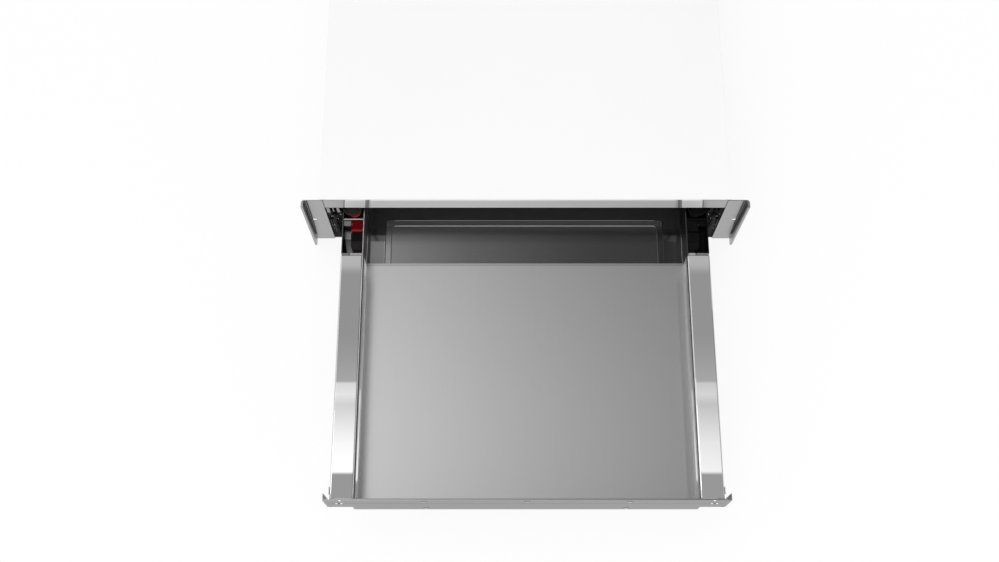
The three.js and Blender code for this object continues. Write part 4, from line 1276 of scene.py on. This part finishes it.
def side_panel_fittings(name, side):
    """Pressed beads, rivets and louvre hoods on a side wall."""
    wall = Room(f"side_wall_{name}")
    outwards = "left" if side < 0 else "right"
    face = side * wall.outer
    beads = []
    for z in (42.0, 96.0):
        path = [(face, wall.front + 60.0, z), (face, wall.rear - 130.0, z)]
        beads.append(swept(path, WALL_BEAD, (side, 0, 0)))
    piece(f"side_wall_beads_{name}", "casing", zinc, beads)
    columns = spaced(wall.front + 28.0, wall.rear - 20.0, 6)
    edges = [(face, y, z) for y in columns for z in (8.0, wall.top - 6.5)]
    grown(f"side_wall_rivets_{name}", "casing", rivets, bright_steel, outwards, edges, radius=2.6)
    slots, pitch, rearmost, level = 6, 12.0, wall.rear - 52.0, 68.0
    beside_slot = 2.4
    hoods = [(face, rearmost - beside_slot - pitch * slot, level) for slot in range(slots)]
    grown(f"side_wall_louvres_{name}", "casing", louvres, zinc, "up", hoods,
          radius=2.4, stretch=(0.9, 1.0, 5.4))


def back_fittings():
    """Beads, screws and louvre hoods on the back wall, and the ribs of the gland's nut."""
    wall = Room("back_wall")
    beads = []
    for z in (30.0, 118.0):
        path = [(wall.left + 30.0, wall.rear, z), (wall.right - 90.0, wall.rear, z)]
        beads.append(swept(path, WALL_BEAD, (0, 1, 0)))
    piece("back_wall_beads", "casing", zinc, beads)
    columns = spaced(wall.left + 12.0, wall.right - 12.0, 7)
    edges = [(x, wall.rear, z) for x in columns for z in (8.0, wall.top - 7.0)]
    grown("back_wall_screws", "casing", screws, bright_steel, "rear", edges, radius=3.4, height=2.0)
    hoods = [(x, wall.rear, z) for x in spaced(-48.0, 48.0, 9) for z in (56.0, 92.0)]
    grown("back_wall_louvres", "casing", louvres, zinc, "up", hoods, radius=3.2, stretch=(1.0, 0.7, 4.0))
    gland = Room("cable_gland")
    nut = ((gland.left + gland.right) / 2, wall.rear + 3.4, gland.centre_z)
    radius = (gland.right - gland.left) / 2
    grown("gland_nut_ribs", "casing", rib_rings, black_plastic, "rear", [nut],
          count=18, radius=radius - 0.6, size=(1.4, 1.6, 5.0))


def top_fittings():
    """Coated screws along the sides and the rear of the top cover's rear half."""
    cover = Room("top_cover")
    side_rows = (365.0, 445.0, 525.0)
    rows = [(side * (cover.right - 11.0), y, cover.top) for side in (-1, 1) for y in side_rows]
    rows += [(x, cover.rear - 12.0, cover.top) for x in spaced(-160.0, 160.0, 4)]
    grown("top_cover_screws", "casing", screws, white_coat, "up", rows, radius=3.6, height=1.6)


def inner_fittings():
    """Screws, blades and ribs of the fan, its limiter and the terminal box."""
    lid = Room("terminal_lid")
    corners = [(x, y, lid.top) for x in (lid.left + 5, lid.right - 5) for y in (lid.front + 5, lid.rear - 5)]
    grown("terminal_lid_screws", "casing", screws, bright_steel, "up", corners, radius=2.6, height=1.5)
    bars = [((lid.left + lid.right) / 2, y, lid.top) for y in spaced(lid.front + 10, lid.rear - 10, 5)]
    grown("terminal_lid_ribs", "casing", ribs, black_plastic, "up", bars, size=(36.0, 1.4, 1.2))
    limiter = Room("temperature_limiter")
    reach = (limiter.right, limiter.right + 7.0)
    width = (limiter.centre_y - 3.1, limiter.centre_y + 3.1)
    blades = [block(reach, width, (z - 0.4, z + 0.4)) for z in (limiter.bottom + 4.0, limiter.top - 4.0)]
    piece("limiter_blades", "casing", bright_steel, blades, rounding=0.15)
    motor = Room("fan_motor")
    grown("motor_cooling_ribs", "casing", rib_rings, black_plastic, "up", [(0.0, motor.centre_y, 38.0)],
          count=24, radius=(motor.right - motor.left) / 2, size=(2.4, 1.0, 26.0))


for side_name, side_sign in SIDES.items():
    side_panel_fittings(side_name, side_sign)
back_fittings()
top_fittings()
inner_fittings()

# ------------------------------------------------------------------ floor, world and lamps

FLOOR_HALF = 6.0
FLOOR_GLOW = 0.88


def make_floor():
    """A white floor, mostly glowing to the eye and in metal, so that its shadows stay faint."""
    mesh = bpy.data.meshes.new("floor")
    corners = [(-1, -1), (1, -1), (1, 1), (-1, 1)]
    mesh.from_pydata([(FLOOR_HALF * x, FLOOR_HALF * y, 0) for x, y in corners], [], [(0, 1, 2, 3)])
    floor = in_scene("floor", mesh)
    material = bpy.data.materials.new("floor_white")
    tree = emptied_tree(material)
    lit = tree.node("ShaderNodeBsdfDiffuse", {}, {"Color": opaque(grey(0.95))})
    plain = tree.node("ShaderNodeEmission", {}, {"Color": WHITE, "Strength": 1.0})
    camera_ray = tree.node("ShaderNodeLightPath", output="Is Camera Ray")
    glossy_ray = tree.node("ShaderNodeLightPath", output="Is Glossy Ray")
    transmission_ray = tree.node("ShaderNodeLightPath", output="Is Transmission Ray")
    seen = camera_ray + glossy_ray + transmission_ray
    mixed = tree.node("ShaderNodeMixShader", {}, {0: FLOOR_GLOW * seen, 1: lit, 2: plain})
    tree.node("ShaderNodeOutputMaterial", {}, {"Surface": mixed})
    mesh.materials.append(material)


# How steep a direction is, as its z, where the white walls give way to the ceiling.
CEILING_EDGE = (0.45, 0.65)
LEAST_RISE = 0.05
# Levels of the studio ceiling along the object's depth, as (y / z of the direction, level).
CEILING = [
    (0.1835, 0.52),
    (0.186, 1.62),
    (0.21, 1.45),
    (0.243, 0.97),
    (0.252, 1.2),
    (0.2615, 1.05),
    (0.2635, 0.64),
    (0.285, 0.54),
    (0.305, 0.48),
    (0.36, 0.48),
    (0.376, 0.75),
    (0.395, 0.72),
    (0.41, 0.3),
    (0.435, 0.2),
    (0.47, 0.5),
]
STRIP_START, STRIP_END, STRIP_EDGE = 0.1845, 0.2625, 0.001
# Shares of those levels across the ceiling, as (x / z of the direction, share).
CROSSWISE = [
    (-0.6, 1.7),
    (-0.3, 2.5),
    (-0.17, 1.9),
    (-0.155, 1.0),
    (-0.12, 1.0),
    (-0.105, 1.5),
    (0.0, 0.95),
    (0.1, 0.68),
    (0.155, 0.6),
    (0.162, 1.0),
    (0.197, 1.0),
    (0.205, 0.5),
    (0.3, 0.22),
    (0.6, 0.4),
]
# Shares across the bright strip itself.
STRIP_TILT = [(-0.16, 1.1), (0.2, 0.9)]
# Where the rear panel's front and rear edges fade, and the levels across it.
REAR_PATCH_FRONT = (0.362, 0.372)
REAR_PATCH_REAR = (0.38, 0.42)
REAR_PATCH = [
    (-0.1185, 0.75),
    (-0.1145, 2.7),
    (-0.1, 2.1),
    (-0.08, 1.6),
    (0.0, 0.42),
    (0.09, 0.1),
    (0.148, 0.06),
    (0.156, 0.06),
    (0.16, 0.72),
]


def make_world():
    """A white studio, whose ceiling of panels and a bright strip shows only in the metal."""
    world = bpy.data.worlds.new("studio")
    bpy.context.scene.world = world
    tree = emptied_tree(world)
    direction = tree.node("ShaderNodeTexCoord", output="Generated")
    height = tree.axis(direction, "Z")
    up = tree.node("ShaderNodeMath", {"operation": "MAXIMUM"}, {0: height, 1: LEAST_RISE})
    across = tree.axis(direction, "X") / up
    along = tree.axis(direction, "Y") / up
    in_strip = tree.ramp(along, STRIP_START - STRIP_EDGE, STRIP_START + STRIP_EDGE)
    in_strip = in_strip * (1 - tree.ramp(along, STRIP_END - STRIP_EDGE, STRIP_END + STRIP_EDGE))
    level = tree.profile(along, CEILING)
    level = level * tree.profile(across, CROSSWISE)
    level = level * (1 + in_strip * (tree.profile(across, STRIP_TILT) - 1))
    rear = tree.ramp(along, *REAR_PATCH_FRONT) * (1 - tree.ramp(along, *REAR_PATCH_REAR))
    level = level + rear * (tree.profile(across, REAR_PATCH) - level)
    overhead = tree.ramp(height, *CEILING_EDGE)
    shown = 1.0 + overhead * (level - 1.0)
    background = tree.node("ShaderNodeBackground", {}, {"Color": WHITE, "Strength": shown})
    tree.node("ShaderNodeOutputWorld", {}, {"Surface": background})


def area_lamp(name, place, tilt, size, radiance):
    """A soft rectangular lamp, facing down unless tilted, that doesn't show in metal."""
    data = bpy.data.lights.new(name, "AREA")
    data.shape = "RECTANGLE"
    data.size, data.size_y = size
    data.energy = radiance * math.pi * size[0] * size[1]
    lamp = in_scene(name, data)
    lamp.location = place
    lamp.rotation_euler = (math.radians(tilt), 0, 0)
    lamp.visible_camera = False
    lamp.visible_glossy = False


make_floor()
make_world()
area_lamp("fill_panel", place=(0, 0, 3.0), tilt=0, size=(3.0, 3.0), radiance=0.92)
area_lamp("front_panel", place=(0, -3.0, 1.3), tilt=68, size=(3.0, 1.6), radiance=2.2)
